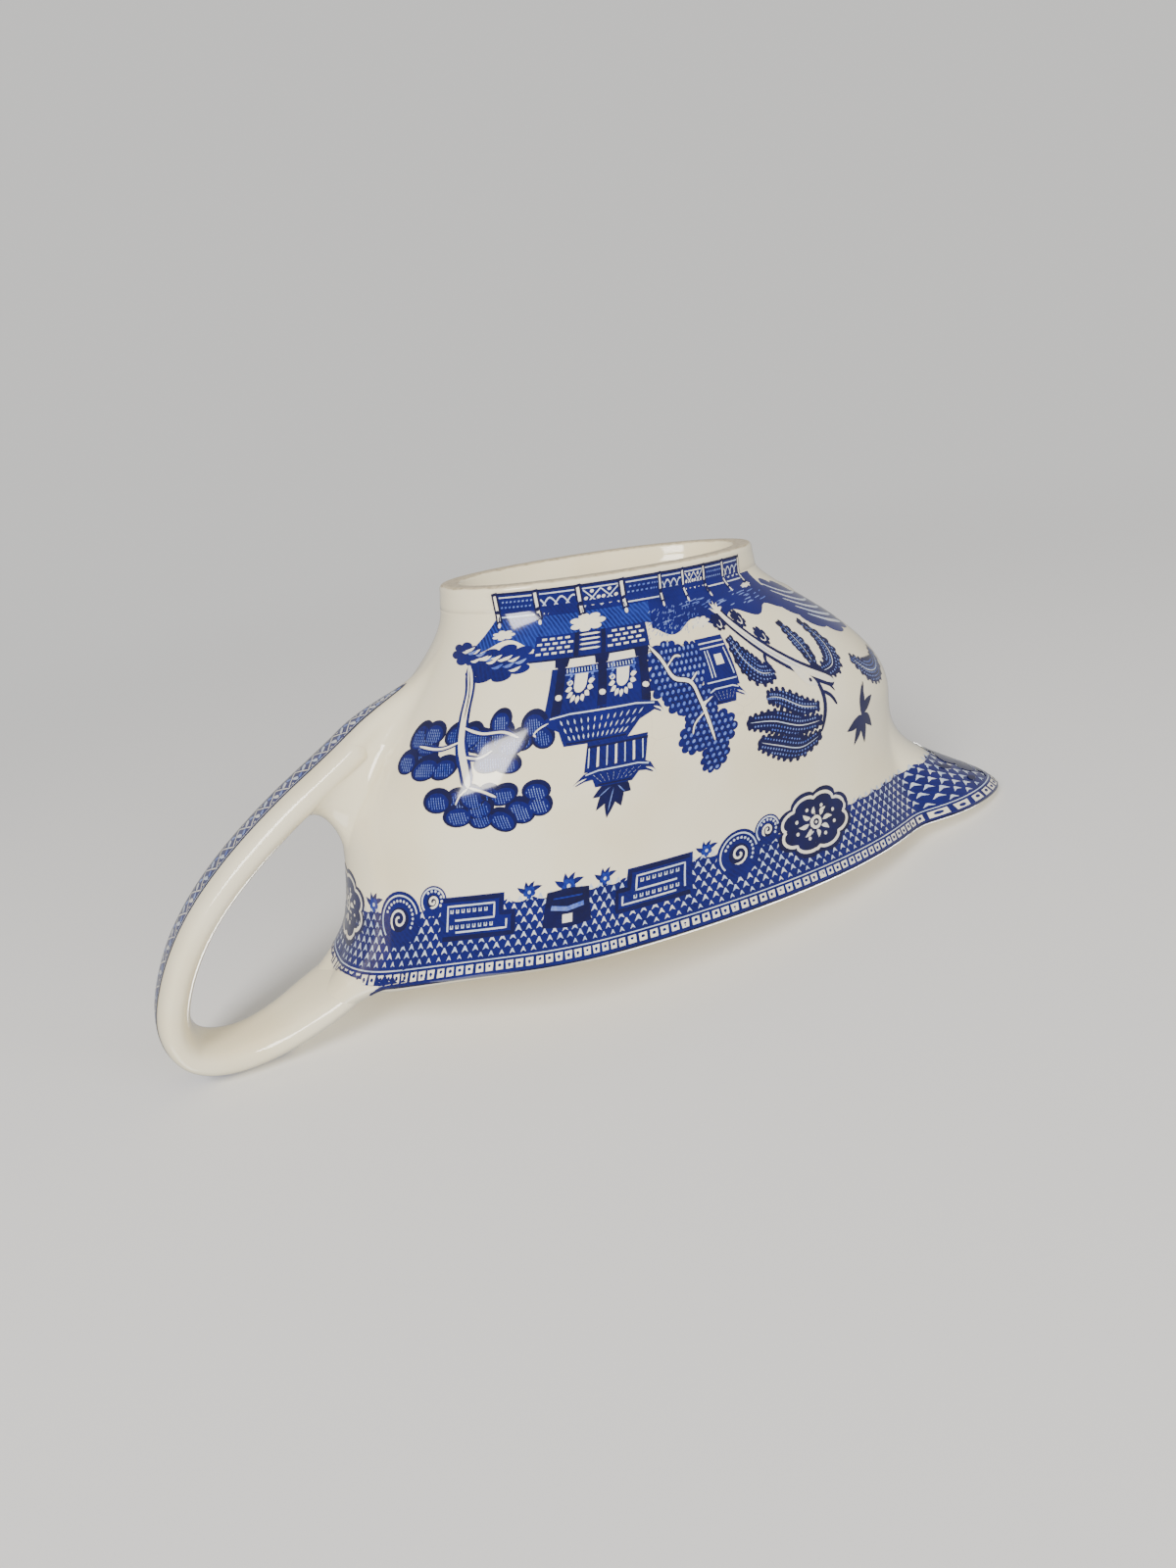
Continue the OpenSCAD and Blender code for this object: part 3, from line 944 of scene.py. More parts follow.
def draw_window(s, x, y):
    """An arched opening with a fan of petals over it."""
    s.level = 4
    arch = [polar(x, y, turn, 1.5, 1.4) for turn in np.linspace(0, 180, 9)]
    s.fill(arch + [(x - 1.5, y - 1.9), (x + 1.7, y - 1.9)], "white")
    for turn in range(-10, 215, 25):
        s.leaf(*polar(x, y, turn, 1.9), *polar(x, y, turn, 3.5, 3.3), 0.95, "white")
    for j in range(5):
        for flip in (-1, 1):
            away = flip * (2.6 + 0.3 * (j % 2))
            s.dot(x + away, y - 0.4 - 0.62 * j, 0.36, "soft", 0.26, flip * 30, 7)


def draw_roof(s, x, y, half, ridge, height, tiles):
    """A tiled roof with upturned ends, its eaves at height y."""
    s.level = 5
    right = [(0, y - 0.4), (half * 0.7, y - 0.1), (half, y + 0.7), (half + 1.6, y + 2.5),
             (half + 0.9, y + 2.7), (half - 0.6, y + 2.1), (mix(half, ridge, 0.6), y + height * 0.55),
             (ridge + 0.4, y + height), (0, y + height)]
    s.fill(mirrored(x, right), "deep")
    s.at(6).line([(x - half * 0.94, y + 0.85), (x - half * 0.6, y + 0.35), (x + half * 0.6, y + 0.35),
            (x + half * 0.94, y + 0.85)], 0.28, "pale")
    s.line([(x - ridge, y + height - 0.4), (x + ridge, y + height - 0.4)], 0.34, "dark")
    for j in range(tiles):
        across = -1 + 2 * (j + 0.5) / tiles
        top = (x + ridge * across * 0.96, y + height - 0.9)
        low = (x + half * across * 0.84, y + 0.9)
        for f in (0.0, 0.34, 0.68):
            tile = [(mix(top[0], low[0], g), mix(top[1], low[1], g)) for g in (f, f + 0.22)]
            s.line(tile, 0.32, "pale", 0.4)
    for flip in (-1, 1):
        horn = ((half - 0.8, 1.5), (half + 0.9, 2.2), (half + 1.7, 3.1), (half + 1.0, 3.6))
        s.curve([(x + flip * dx, y + dy) for dx, dy in horn], 0.36, "white", 0.2)


def draw_finial(s, x, y):
    """A tuft of pointed leaves on the roof."""
    s.at(4).spray(x, y, ((30, 4.6), (62, 5.6), (90, 6.8), (118, 5.6), (150, 4.6)), 2.4, "dark")
    s.level = 5
    for turn, length in ((40, 3.6), (90, 5.4), (140, 3.6)):
        s.line([polar(x, y, turn, 1), polar(x, y, turn, length)], 0.2, "soft", 0.3)


def draw_pavilion(s):
    """A pavilion of two storeys, each with a tiled roof, on the terrace."""
    draw_terrace(s)
    top, base = PAVILION_TOP, TERRACE_V + 1.2
    s.at(2).fill([(12.6, top), (37, top), (38.4, base), (14, base)], "deep")
    s.level = 3
    for x in np.arange(17.6, 35.4, 0.75):
        s.line([(x, TERRACE_V + 2.6), (x + 0.25, TERRACE_V + 1.9)], 0.24, "pale")
    s.line([(17, TERRACE_V + 2.9), (35, TERRACE_V + 2.9)], 0.22, "soft")
    for x in (19.9, 30.3):
        draw_window(s, x, 19.4)
    for x in (14.2, 24.6, 35.0):
        s.at(5).line([(x - 0.6, 24.4), (x + 1.0, TERRACE_V + 0.6)], 2.1, "dark")
        base, top = TERRACE_V, TERRACE_V + 1.5
        s.fill([(x - 0.6, top), (x + 2.6, top), (x + 3.0, base), (x - 1, base)], "dark")
        s.at(6).dot(x - 0.1, 21.3, 0.85, "white", 0.5, -15, 10)
    draw_roof(s, 23.6, 24.0, 12.6, 6.4, 6.0, 13)
    s.at(4).fill([(12.4, 30.0), (25.4, 30.0), (24.4, 35.4), (11.6, 35.4)], "deep")
    s.level = 6
    for j in range(7):
        x = 12.4 + 1.9 * j
        s.line([(x, 34.6), (x + 0.9, 31.0)], 0.44 if j % 2 else 0.24, "white" if j % 2 else "pale")
    s.line([(12.2, 30.8), (25.2, 30.8)], 0.4, "dark")
    draw_roof(s, 17.4, 35.0, 7.0, 3.4, 3.5, 8)
    draw_finial(s, 17.2, 38.2)


def draw_ball(s, x, y, rx, ry, lean, level):
    """A round clump of leaves: a dark edge, lighter towards its upper side, with fine dashes."""
    s.at(level).fill(ellipse(x, y, rx, ry, lean, 22), "dark")
    s.at(level + 0.8).fill(ellipse(x - 0.1, y + ry * 0.16, rx * 0.8, ry * 0.72, lean, 18), "deep")
    s.level = level + 1.6
    shaded = ellipse(x - 0.1, y + ry * 0.24, rx * 0.66, ry * 0.52, lean, 16)
    for px, py in lattice_points(shaded, 0.52, 0.44):
        s.line([(px - 0.1, py + 0.17), (px + 0.1, py - 0.17)], 0.13, "soft")


TREE_CLUMPS = [(34, 39, 3), (40.5, 41, 2), (46, 39, 3), (51, 36.5, 2), (41, 35.6, 2), (38, 27, 3),
               (43, 30, 3), (47.5, 26, 4), (54, 25, 2), (57, 31, 2), (63, 29.6, 3), (64, 25, 2)]


def draw_ball_tree(s):
    """Clumps of leaves, and then the trunk and its boughs over them."""
    rnd = random.Random(23)
    order = 0
    for x, y, count in TREE_CLUMPS:
        for j in range(count):
            turn = 2.1 * j + rnd.uniform(0, 1)
            size = rnd.uniform(2.7, 3.7), rnd.uniform(1.8, 2.4)
            draw_ball(s, x + 2.3 * math.cos(turn), y + 1.9 * math.sin(turn), *size,
                      rnd.uniform(-35, 0), 0.4 + 0.5 * (order % 9))
            order += 1
    trunk = [(62.5, 14.6), (59, 18.4), (56.6, 23), (53.6, 27.8), (50, 32), (47.4, 35.4)]
    boughs = [[trunk[-1], (44, 36.4), (41, 37.6)], [trunk[-1], (48.6, 36.8), (48.8, 38.4)],
              [(55.4, 25.0), (50, 26.2), (45, 26.2), (41, 27.4)], [(54, 27.4), (58, 28.6), (64, 28.2)],
              [(51.6, 30), (48, 30.4), (45.6, 29.2)]]
    for ink, extra, level in (("deep", 0.55, 6.6), ("white", 0.0, 7.6)):
        s.level = level
        for bough in boughs:
            s.curve(bough, 0.42 + extra, ink, 0.2)
        s.curve(trunk, 1.2 + 2 * extra, ink, 0.1)
    s.at(8.2).curve([(61.6, 15.6), (58.4, 19.4), (56.2, 23.6)], 0.28, "dark", 0.3)


def draw_rocks(s):
    """Two low rocks under the round-leaved tree, with strokes of light on them."""
    s.at(1).fill(cloud(53, 14.4, 9.4, 3.0, 9, 0.16, 4), "deep")
    s.fill(cloud(65, 12.6, 5.6, 1.9, 7, 0.16, -6), "deep")
    s.level = 2.2
    rnd = random.Random(8)
    for j in range(18):
        x, y = 47.5 + 1.05 * j, 14.6 + 1.9 * (rnd.random() - 0.5) - 0.13 * j
        s.leaf(x - 1.6, y - 0.3, x + 1.6, y + 0.3, 0.6, "white" if j % 3 else "soft", 0.3)


def draw_beaded_tree(s):
    """Lobed crowns filled with beads, and a bent trunk."""
    crowns = [(-5.2, 37.4, 3.4, 3.4), (-4.6, 32.6, 5.4, 3.8), (0.2, 32.6, 4.2, 3.6),
              (-0.4, 27, 5.2, 3.4), (3.8, 24.4, 5.4, 3.8), (0.6, 19.4, 4.6, 4.2),
              (8.2, 20.8, 5.2, 4.2), (8.4, 17.2, 5.8, 2.8)]
    s.level = 2
    for x, y, rx, ry in crowns:
        s.fill(cloud(x, y, rx, ry, 11, 0.12), "deep")
    s.level = 3.4
    box = np.array([(-12, 13.5), (15, 13.5), (15, 42), (-12, 42)], float)
    for x, y in lattice_points(box, 1.55, 1.25):
        if any(((x - cx) / (rx - 0.5)) ** 2 + ((y - cy) / (ry - 0.5)) ** 2 < 1
               for cx, cy, rx, ry in crowns):
            s.dot(x, y, 0.43, "soft", 0.36, 30, 8)
            s.line([(x - 0.7, y - 0.1), (x - 0.3, y - 0.62), (x + 0.3, y - 0.6)], 0.16, "dark")
    trunk = [(13.4, TERRACE_V), (9.6, 18.2), (6.6, 21.2), (1.8, 22.6), (-0.4, 26), (-2.4, 30),
             (-4.6, 34.6)]
    twigs = [[(8.6, 19.0), (6.0, 17.4), (3.8, 17.6)], [(1.8, 22.6), (-0.4, 21)],
             [(-1.0, 27), (-3.0, 26.6)], [(-1.6, 28.6), (0.8, 30.4), (1.2, 32.4)]]
    for ink, width, level in (("dark", 1.28, 4.4), ("white", 0.75, 5.4)):
        s.at(level).curve(trunk, width, ink, 0.15)
        for twig in twigs:
            s.curve(twig, width * 0.55, ink, 0.2)


def draw_hut(s):
    """A small house behind the beaded tree."""
    s.at(1).block(-12.4, 15.2, -2, 25, "deep")
    s.level = 3
    for y in (16.2, 17.1, 23.6):
        s.line([(-12, y), (-3, y)], 0.26, "pale")
    s.block(-9.6, 20.6, -7.0, 18.6, "white")
    for x in (-11.6, -5.8, -4.8):
        s.line([(x, 22.8), (x + 0.5, 17.6)], 0.36, "pale")
    draw_roof(s, -7.6, 24.6, 4.4, 2.4, 3.4, 6)


FROND_TIP = 0.42


def draw_frond(s, path, width):
    """A hanging frond: a dark blade with rows of beads along it and a pale rib."""
    path = open_curve(path, 0.8)
    s.at(1).line(path, width, "dark", FROND_TIP)
    way = unit(np.gradient(path, axis=0))
    side = np.stack([-way[:, 1], way[:, 0]], -1)
    f = np.linspace(0, 1, len(path))
    room = width / 2 * np.sqrt(clip01(np.minimum(f, 1 - f) / FROND_TIP))
    s.level = 2
    for off in np.arange(-width / 2 + 0.6, width / 2 - 0.5, 0.85):
        for k in range(1, len(path) - 1):
            if 0.25 < abs(off) < room[k] - 0.3:
                x, y = path[k] + side[k] * off
                s.dot(x, y, 0.22, "soft", parts=6)
    for k in range(1, len(path) - 1, 2):
        for flip in (1, -1):
            x, y = path[k] + flip * side[k] * room[k]
            s.dot(x, y, 0.62, "dark", parts=8)
    s.at(3).line(path[2:-2], 0.22, "pale", 0.3)


def draw_willow(s):
    """A leaning tree with hanging fronds."""
    for path, width in (([(-35, 40), (-29, 41.4), (-22, 39.4), (-16, 37.4)], 4.8),
                        ([(-35, 37), (-28, 36.6), (-20, 34), (-12.6, 33)], 4.6),
                        ([(-34.6, 34), (-29, 32.8), (-23, 29.8), (-19, 29)], 4.0),
                        ([(-24, 24.6), (-19.6, 24), (-16, 20.6), (-14.6, 16)], 5.6),
                        ([(-39, 27.4), (-45, 26.6), (-48, 22), (-47, 16.6)], 5.0),
                        ([(-38, 26.6), (-38.6, 22), (-38.4, 19), (-38, 15.6)], 4.6)):
        draw_frond(s, path, width)
    trunk = [(-15.8, 9.6), (-19, 14), (-25, 19.8), (-32, 24.8), (-38, 28), (-42, 30)]
    s.at(4).curve(trunk, 3.4, "dark", 0.08)
    knots = ((-27, 17.4, 2.2, 1.9), (-23, 13.2, 2.4, 1.8), (-14, 13, 2.6, 1.6))
    for knot in knots:
        s.fill(cloud(*knot, 8), "dark")
    for twig, width in (([(-25, 20), (-23, 22), (-24.4, 25)], 0.9),
                        ([(-36, 27.4), (-36.6, 33), (-35, 39.6)], 1.2),
                        ([(-36.4, 31), (-39, 32.6), (-40.6, 35)], 0.9),
                        ([(-38.6, 28.6), (-41, 32)], 0.6)):
        s.curve(twig, width, "dark", 0.3)
    s.at(5).curve(trunk, 1.7, "white", 0.12)
    s.leaf(-36, 29.6, -29.8, 24.0, 2.6, "white", 0.5)
    roots = [(turn, 3.4) for turn in (200, 232, 262, 296, 334)]
    s.spray(-16.6, 11.2, roots, 0.7, "white", 0.2, 2.4 / 3.4)
    for x, y, _, _ in knots:
        s.ring(x, y, 1.0, 0.3, "white", 20, 200)
    s.at(6).dot(-34.2, 28.2, 0.5, "dark", parts=10)
    s.curve([(-20, 15.4), (-26, 20.8), (-33, 25.4)], 0.16, "soft", 0.3)


def draw_shore(s):
    """Water and a bush on the belly below the spout."""
    s.at(0).fill(cloud(-61, 15, 13.5, 6.4, 9, 0.1, -16), "deep")
    s.level = 1
    for j in range(5):
        y = 10.4 + 2.1 * j
        wave = [(-52 - j, y - 2.4), (-58 - j, y), (-64 - j, y + 1.6), (-70, y + 2.0)]
        s.curve(wave, 0.5 + 0.08 * j, "pale", 0.35)
    draw_frond(s, [(-53.5, 27), (-58, 31), (-64, 31.6), (-70, 28)], 5.6)
    s.level = 2
    leaves = [(turn, 6.2) for turn in (20, 62, 104, 146, 208, 250)]
    s.spray(-50, 39.6, leaves, 2.3, "dark", 0.4, 7.0 / 6.2)
    s.curve([(-50, 39.6), (-51, 36), (-53, 32.6)], 0.5, "dark", 0.2)


def draw_side_scene(with_shore):
    """The whole scene of one side. Only the side that the photo shows has the shore."""
    s = Sheet()
    draw_ground(s)
    if with_shore:
        draw_shore(s)
    draw_rocks(s)
    draw_ball_tree(s)
    draw_hut(s)
    draw_beaded_tree(s)
    draw_willow(s)
    draw_pavilion(s)
    draw_fence(s)
    return s


# ---- The border under the rim ----

BAND_LOW = 57.6
LINE_V = 69.0
SQUARE_LOW = 69.6
SQUARE_HIGH = 71.25
EDGE_V = 72.1
BAND_TOP = 72.3
SQUARE_PITCH = 2.04
HEART_PITCH = 2.2
HEART_ROWS = 8
HEART_TOP = 67.9
HEART_DROP = 1.42


def draw_heart(s, x, y, size, ink):
    """One cell of the lattice: a notched wedge that points down."""
    wide, high, low = 0.62 * size, 0.5 * size, 0.62 * size
    s.fill([(x - wide, y + high), (x, y + 0.12 * size), (x + wide, y + high),
            (x + 0.1 * size, y - low), (x - 0.1 * size, y - low)], ink)


def draw_band(s, low, high):
    """The part of the border that repeats: a line of squares, a rule and the lattice under them."""
    s.level = 0
    x = np.arange(low, high + 0.1, 0.7)
    edge = np.stack([x, BAND_LOW + 0.9 * np.abs(np.sin(x * 0.6))], -1)
    s.fill(np.concatenate([edge, [[high, BAND_TOP], [low, BAND_TOP]]]), "deep")
    s.at(1).line([(low, LINE_V), (high, LINE_V)], 0.22, "pale")
    s.line([(low, EDGE_V), (high, EDGE_V)], 0.35, "dark")
    rnd = random.Random(3)
    for x in np.arange(low, high - 1.9, SQUARE_PITCH):
        lean = rnd.uniform(-0.12, 0.12)
        square = [(x + 0.25, SQUARE_LOW), (x + 1.75 + lean, SQUARE_LOW + 0.05),
                  (x + 1.72, SQUARE_HIGH), (x + 0.3 + lean, SQUARE_HIGH - 0.05)]
        s.at(1).fill(square, "white")
        s.at(2).dot(x + 1.0 + lean, 70.4 + lean, 0.36, "deep", 0.42, parts=8)
    s.level = 1
    for j in range(HEART_ROWS):
        for x in np.arange(low + (j % 2) * HEART_PITCH / 2, high - 1, HEART_PITCH):
            size = rnd.uniform(0.88, 1.08) * (1.1 if j else 0.85)
            draw_heart(s, x + rnd.uniform(-0.08, 0.08), HEART_TOP - HEART_DROP * j, size, "pale")


def draw_sprig(s, x, y, size=1.0):
    """A small flower with leaves that hangs from the border."""
    s.level = 1
    leaves = [(turn, size * length) for turn, length in ((200, 3.2), (245, 2.6), (290, 2.6), (335, 3.2))]
    s.spray(x, y, leaves, 1.1 * size, "deep", 0.25)
    s.level = 2
    for j in range(5):
        s.dot(*polar(x, y, 90 + 72 * j, 0.85 * size), 0.62 * size, "mid", parts=9)
    s.at(3).dot(x, y, 0.4 * size, "pale", parts=8)


def draw_medallion(s, x, y):
    """A dark lobed panel with a flower in it."""
    s.at(3).fill(cloud(x, y, 10.0, 7.2, 8, 0.09), "dark")
    s.level = 4
    inner = cloud(x, y, 8.7, 5.9, 8, 0.09)
    s.line(np.concatenate([inner, inner[:1]]), 0.7, "white")
    s.ring(x, y, 1.15, 0.7, "white")
    s.dot(x, y, 0.35, "white", parts=8)
    for turn in range(0, 360, 45):
        s.leaf(*polar(x, y, turn, 1.8, 1.6), *polar(x, y, turn, 4.6, 3.5), 1.0, "white", 0.35)
        s.dot(*polar(x, y, turn + 22, 5.4, 3.4), 0.42, "white", parts=8)


def draw_whorl(s, x, y, r, hand):
    """A round disc with a ring of beads and a spiral in it."""
    s.at(3).fill(ellipse(x, y, r, r, 0, 30), "deep")
    s.at(4).ring(x, y, r * 0.84, 0.34, "pale", 190, 400)
    s.fill(ellipse(x, y + 0.1, r * 0.46, r * 0.44, 0, 18), "dark")
    for j in range(int(r * 2.6)):
        s.dot(*polar(x, y, 150 + j * 200 / (r * 2.6), r * 0.65), 0.3, "pale", parts=6)
    s.at(5).spiral(x, y + 0.1, r * 0.42, 1.5, 0.5, "white", 60, 0.12, hand)


def draw_fret(s, x, y, flip):
    """A stepped panel with key frames and rows of small hollow squares."""
    def placed(points):
        return [(x + flip * dx, y + dy) for dx, dy in points]

    s.at(3).fill(placed([(-8, 8.6), (8, 8.6), (8, 3.4), (5.4, 3.4), (5.4, 0), (-8, 0)]), "deep")
    edge = [(-7.4, 8.0), (7.4, 8.0), (7.4, 4.0), (4.8, 4.0), (4.8, 0.6), (-7.4, 0.6)]
    s.at(4).line(placed(edge), 0.9, "dark")
    s.line(placed([(-6.4, 6.6), (-6.4, 1.8), (3.4, 1.8), (3.4, 4.6), (-4.8, 4.6)]), 0.36, "pale")
    s.line(placed([(-4.6, 6.9), (6.0, 6.9), (6.0, 5.2)]), 0.36, "pale")
    for dy, count in ((2.5, 7), (5.5, 8)):
        for j in range(count):
            px, py = placed([(-5.2 + 1.2 * j, dy)])[0]
            s.at(5).block(px, py, px + 0.66, py + 0.72, "pale")
            s.at(6).block(px + 0.2, py, px + 0.46, py + 0.46, "deep")


def draw_gate(s, x, y):
    """A dark block with a light opening, between two frets."""
    s.at(4).fill(mirrored(x, [(0, y - 3.4), (4.6, y - 3.0), (5.4, y + 3.8), (0, y + 4.4)]), "dark")
    s.at(5).block(x - 1.1, y + 3.4, x + 1.1, y + 1.7, "white")
    s.line([(x - 3.6, y + 0.1), (x, y + 0.7), (x + 3.6, y + 0.1)], 0.9, "soft")
    s.line([(x - 3.2, y - 1.6), (x + 3.2, y - 1.6)], 0.3, "mid")


def draw_border(low, high):
    """The whole border of one side, from the spout's middle line to the handle's."""
    s = Sheet()
    draw_band(s, low, high)
    for x in (-33.0, high):
        draw_medallion(s, x, 58.8)
    for x, y, r, hand in ((-13.6, 59.6, 5.0, 1), (60.6, 59.6, 5.4, -1), (-20.6, 56.6, 3.2, -1),
                          (52.4, 56.6, 3.0, 1)):
        draw_whorl(s, x, y, r, hand)
    draw_fret(s, 4.6, 56.2, 1)
    draw_fret(s, 42.6, 56.2, -1)
    draw_gate(s, 23.6, 60.6)
    for x, size in ((-6.4, 0.85), (15.4, 0.9), (23.6, 1.1), (32.0, 0.9), (68.2, 1.0)):
        draw_sprig(s, x, 56.9, size)
    return s


def draw_lip_print():
    """A spray of leaves on the outside of the lip, the same on both sides of its middle line."""
    s = Sheet()
    s.at(0).fill(cloud(0, 62.9, 7.6, 6.0, 9, 0.12), "dark")
    for flip in (1, -1):
        for row in range(5):
            y = 68.0 - 2.3 * row
            wide = 6.4 - 0.22 * row * row
            s.at(1).leaf(flip * 0.5, y - 0.8, flip * wide, y + 0.5, 1.7, "deep", flip * 0.4)
            s.at(2).line([(flip * 0.8, y - 0.6), (flip * wide * 0.8, y + 0.3)], 0.22, "pale", 0.3)
        s.at(1).dot(flip * 9.4, 66.4, 0.7, "dark", parts=10)
        s.leaf(flip * 8.6, 62.6, flip * 11.0, 60.4, 1.3, "dark", 0.2)
    s.at(3).line([(0, 68.4), (0, 57.4)], 0.5, "pale", 0.1)
    return s


STRIP_HALF_WIDTH = 3.7
STRIP_TAPER = 16.0
STRIP_PITCH = 5.4


def strip_half(v):
    """Half the width of the handle's strip, which comes to a point at its low end."""
    return STRIP_HALF_WIDTH * min(1.0, (max(v, 0.0) / STRIP_TAPER) ** 0.6)


def draw_handle_strip(length):
    """A zig-zag of leaves between two dark edges. u runs across the strap and v along it."""
    s = Sheet()
    along = np.arange(0.0, length, 0.8)
    s.level = 0
    left, right = [(-strip_half(v), v) for v in along], [(strip_half(v), v) for v in along[:0:-1]]
    s.fill(left + right, "deep")
    s.level = 1
    for flip in (-1, 1):
        s.line([(flip * (strip_half(v) - 0.15), v) for v in along[1:]], 0.6, "dark")
        s.line([(flip * (strip_half(v) - 0.75), v) for v in along[3:]], 0.22, "pale")
    for j in range(int(length / STRIP_PITCH)):
        v = 3.0 + j * STRIP_PITCH
        half_v = v + STRIP_PITCH / 2
        w = strip_half(half_v) - 1.0
        s.at(1).line([(-w, v), (w, half_v), (-w, v + STRIP_PITCH)], 0.34, "white")
        s.level = 2
        for side, low in ((w, v), (-w, half_v)):
            bend = math.copysign(0.2, side)
            s.leaf(side * 0.9, low + 0.1, -side * 0.25, low + 1.2, 1.0, "pale", bend)
            s.leaf(side * 0.9, low - 0.5, side * 0.1, low - 1.6, 0.9, "soft", -bend)
            s.dot(side * 0.85, low + 1.5, 0.28, "white", parts=7)
    return s


# ---- Laying the prints on the glaze ----

GIRTH_HEIGHT = 40.0
SCENE_SHIFT = -8.0
LIP_STRETCH = 0.62
STRIP_START = 0.09
STRIP_STOP = 0.80


def run_along(points):
    """How far along a path each of its points is."""
    return np.concatenate([[0], np.cumsum(np.linalg.norm(np.diff(points, axis=0), axis=1))])


girth_angle = np.linspace(0, 180, 1441)
girth_point = outer(girth_angle, GIRTH_HEIGHT)
girth = run_along(girth_point)
FRONT_U = -np.interp(0, -girth_point[:, 0], girth)
BACK_U = girth[-1] + FRONT_U
strip_t = np.linspace(STRIP_START, STRIP_STOP, 400)
strip_run = run_along(strap_surface(strip_t, 90.0)[0])


def on_left(u, v):
    """The bowl's +Y side: u is 0 beside the middle and grows towards the handle."""
    return outside(np.interp(u - FRONT_U, girth, girth_angle), v)


def on_right(u, v):
    """The bowl's -Y side, with the border running the same way from the spout."""
    return outside(360 - np.interp(u - FRONT_U, girth, girth_angle), v)


def on_right_turned(u, v):
    """The -Y side again, with u growing towards the spout, so that a scene isn't mirrored."""
    return on_right(-u - SCENE_SHIFT, v)


def on_lip(u, v):
    """The outside of the lip, with u across it from its middle line."""
    return outside(u / LIP_STRETCH, v)


def on_strap(u, v):
    """The strap's outer face, with v along it."""
    t = np.interp(v, strip_run, strip_t)
    share = np.clip(u / strap_half_width(t), -1, 1)
    return strap_surface(t, np.degrees(np.arccos(np.sign(share) * np.abs(share) ** 1.25)))


# A print near the handle moves to the slip's skin where that covers it. It is left off where it
# would climb or stretch too far, or come out as slivers.
NEAR_HANDLE = -45.0
CLIMB = 5.5
STRETCH = 3.2
SLIVER = 1e-4
DRAPE_LIFT = 0.06
COVER_DEPTH = 0.02
TIP_HEIGHT = 25.5
TIP_DEPTH = 5.0
# Where the lip flares out, and on the rim's rounding, the films need wider gaps to stay apart.
FLARE_U = -32.0
FLARE_V = 57.0
FLARE_GAP = 5.0
ROUNDING_V = 70.9
ROUNDING_LIFT = 0.05


class Drape:
    """The two slip joints' skins, which prints climb where they cross a joint."""

    def __init__(self, shells):
        points, faces, self.normals = [], [], []
        for shell in shells:
            start = len(points)
            points += [v.co / MM for v in shell.data.vertices]
            outer_skin = shell.data.polygons[:SHELL_ROWS * SLIP_AROUND]
            faces += [[start + i for i in p.vertices] for p in outer_skin]
            corner = {}
            for loop in shell.data.loops:
                corner[loop.vertex_index] = shell.data.corner_normals[loop.index].vector.copy()
            self.normals += [corner[i] for i in range(len(shell.data.vertices))]
        self.points, self.faces = points, faces
        self.tree = BVHTree.FromPolygons(points, faces)

    def lift(self, point, normal, height, depth):
        """The skin's point and normal nearest to a point that it covers, or None where it is bare."""
        start = Vector(point) + Vector(normal) * height
        if self.tree.ray_cast(start, -Vector(normal), height + depth)[0] is None:
            return None
        hit, _, face, _ = self.tree.find_nearest(Vector(point))
        total = Vector()
        for i in self.faces[face]:
            total += self.normals[i] / ((self.points[i] - hit).length + 0.01)
        return hit, total.normalized()


def film_heights(flat, level):
    """How far each point of a flat print stands above the glaze."""
    flared = (flat[:, 0] < FLARE_U) & (flat[:, 1] > FLARE_V)
    gap = FILM_GAP * np.where(flared, FLARE_GAP, 1.0)
    return FILM_BASE + gap * level + np.where(flat[:, 1] > ROUNDING_V, ROUNDING_LIFT, 0.0)


def lay_print(name, sheet, place, drape=None, reach_mm=16.0, near_x=NEAR_HANDLE, lowest=0.0,
              on_tip=False):
    """Turns a flat print into thin films on the surface that place gives. Points beyond near_x
    are looked for under slip up to reach_mm thick. on_tip is for a print that runs down a tip."""
    flat = np.concatenate(sheet.points)
    points, normals = place(flat[:, 0], flat[:, 1])
    gone = np.zeros(len(flat), bool)
    thick = film_heights(flat, lowest + np.concatenate(sheet.levels))
    for i in np.nonzero(points[:, 0] < near_x)[0] if drape else []:
        depth = TIP_DEPTH if on_tip and points[i, 2] < TIP_HEIGHT else COVER_DEPTH
        found = drape.lift(points[i], normals[i], reach_mm, depth)
        if found:
            gone[i] = (found[0] - Vector(points[i])).length > CLIMB
            points[i], normals[i] = found
            thick[i] += DRAPE_LIFT
    lifted = points + normals * thick[:, None]
    keep, oriented = [], []
    for i, face in enumerate(sheet.faces):
        face = list(dict.fromkeys(face[:4]))
        corner = lifted[face]
        torn = gone[face].any() or (corner[0, 0] < near_x and np.abs(corner - corner[0]).max() > STRETCH)
        if len(face) < 3 or torn:
            continue
        facing = np.cross(corner[1] - corner[0], corner[-1] - corner[0]) @ normals[face[0]]
        if abs(facing) < SLIVER:
            continue
        keep.append(i)
        oriented.append(face if facing > 0 else face[::-1])
    inks = np.array(sheet.inks)[keep]
    obj = make_mesh(name, lifted, oriented, PRINT_INKS, normals=normals, face_material=inks, uv=flat)
    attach(obj, "root")


# ---- The object ----

bowl = make_bowl()
foot = make_foot()
strap = make_strap()
upper_joint = make_upper_joint()
lower_joint = make_lower_joint()

for piece, node, finish_slot in ((bowl, "bowl", "glazed_body"), (foot, "foot_ring", "glazed_body"),
                                 (strap, "handle", "glazed_body"),
                                 (upper_joint, "upper_handle_joint", "glazed_slip"),
                                 (lower_joint, "lower_handle_joint", "glazed_slip")):
    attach(piece, "root")
    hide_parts(node)

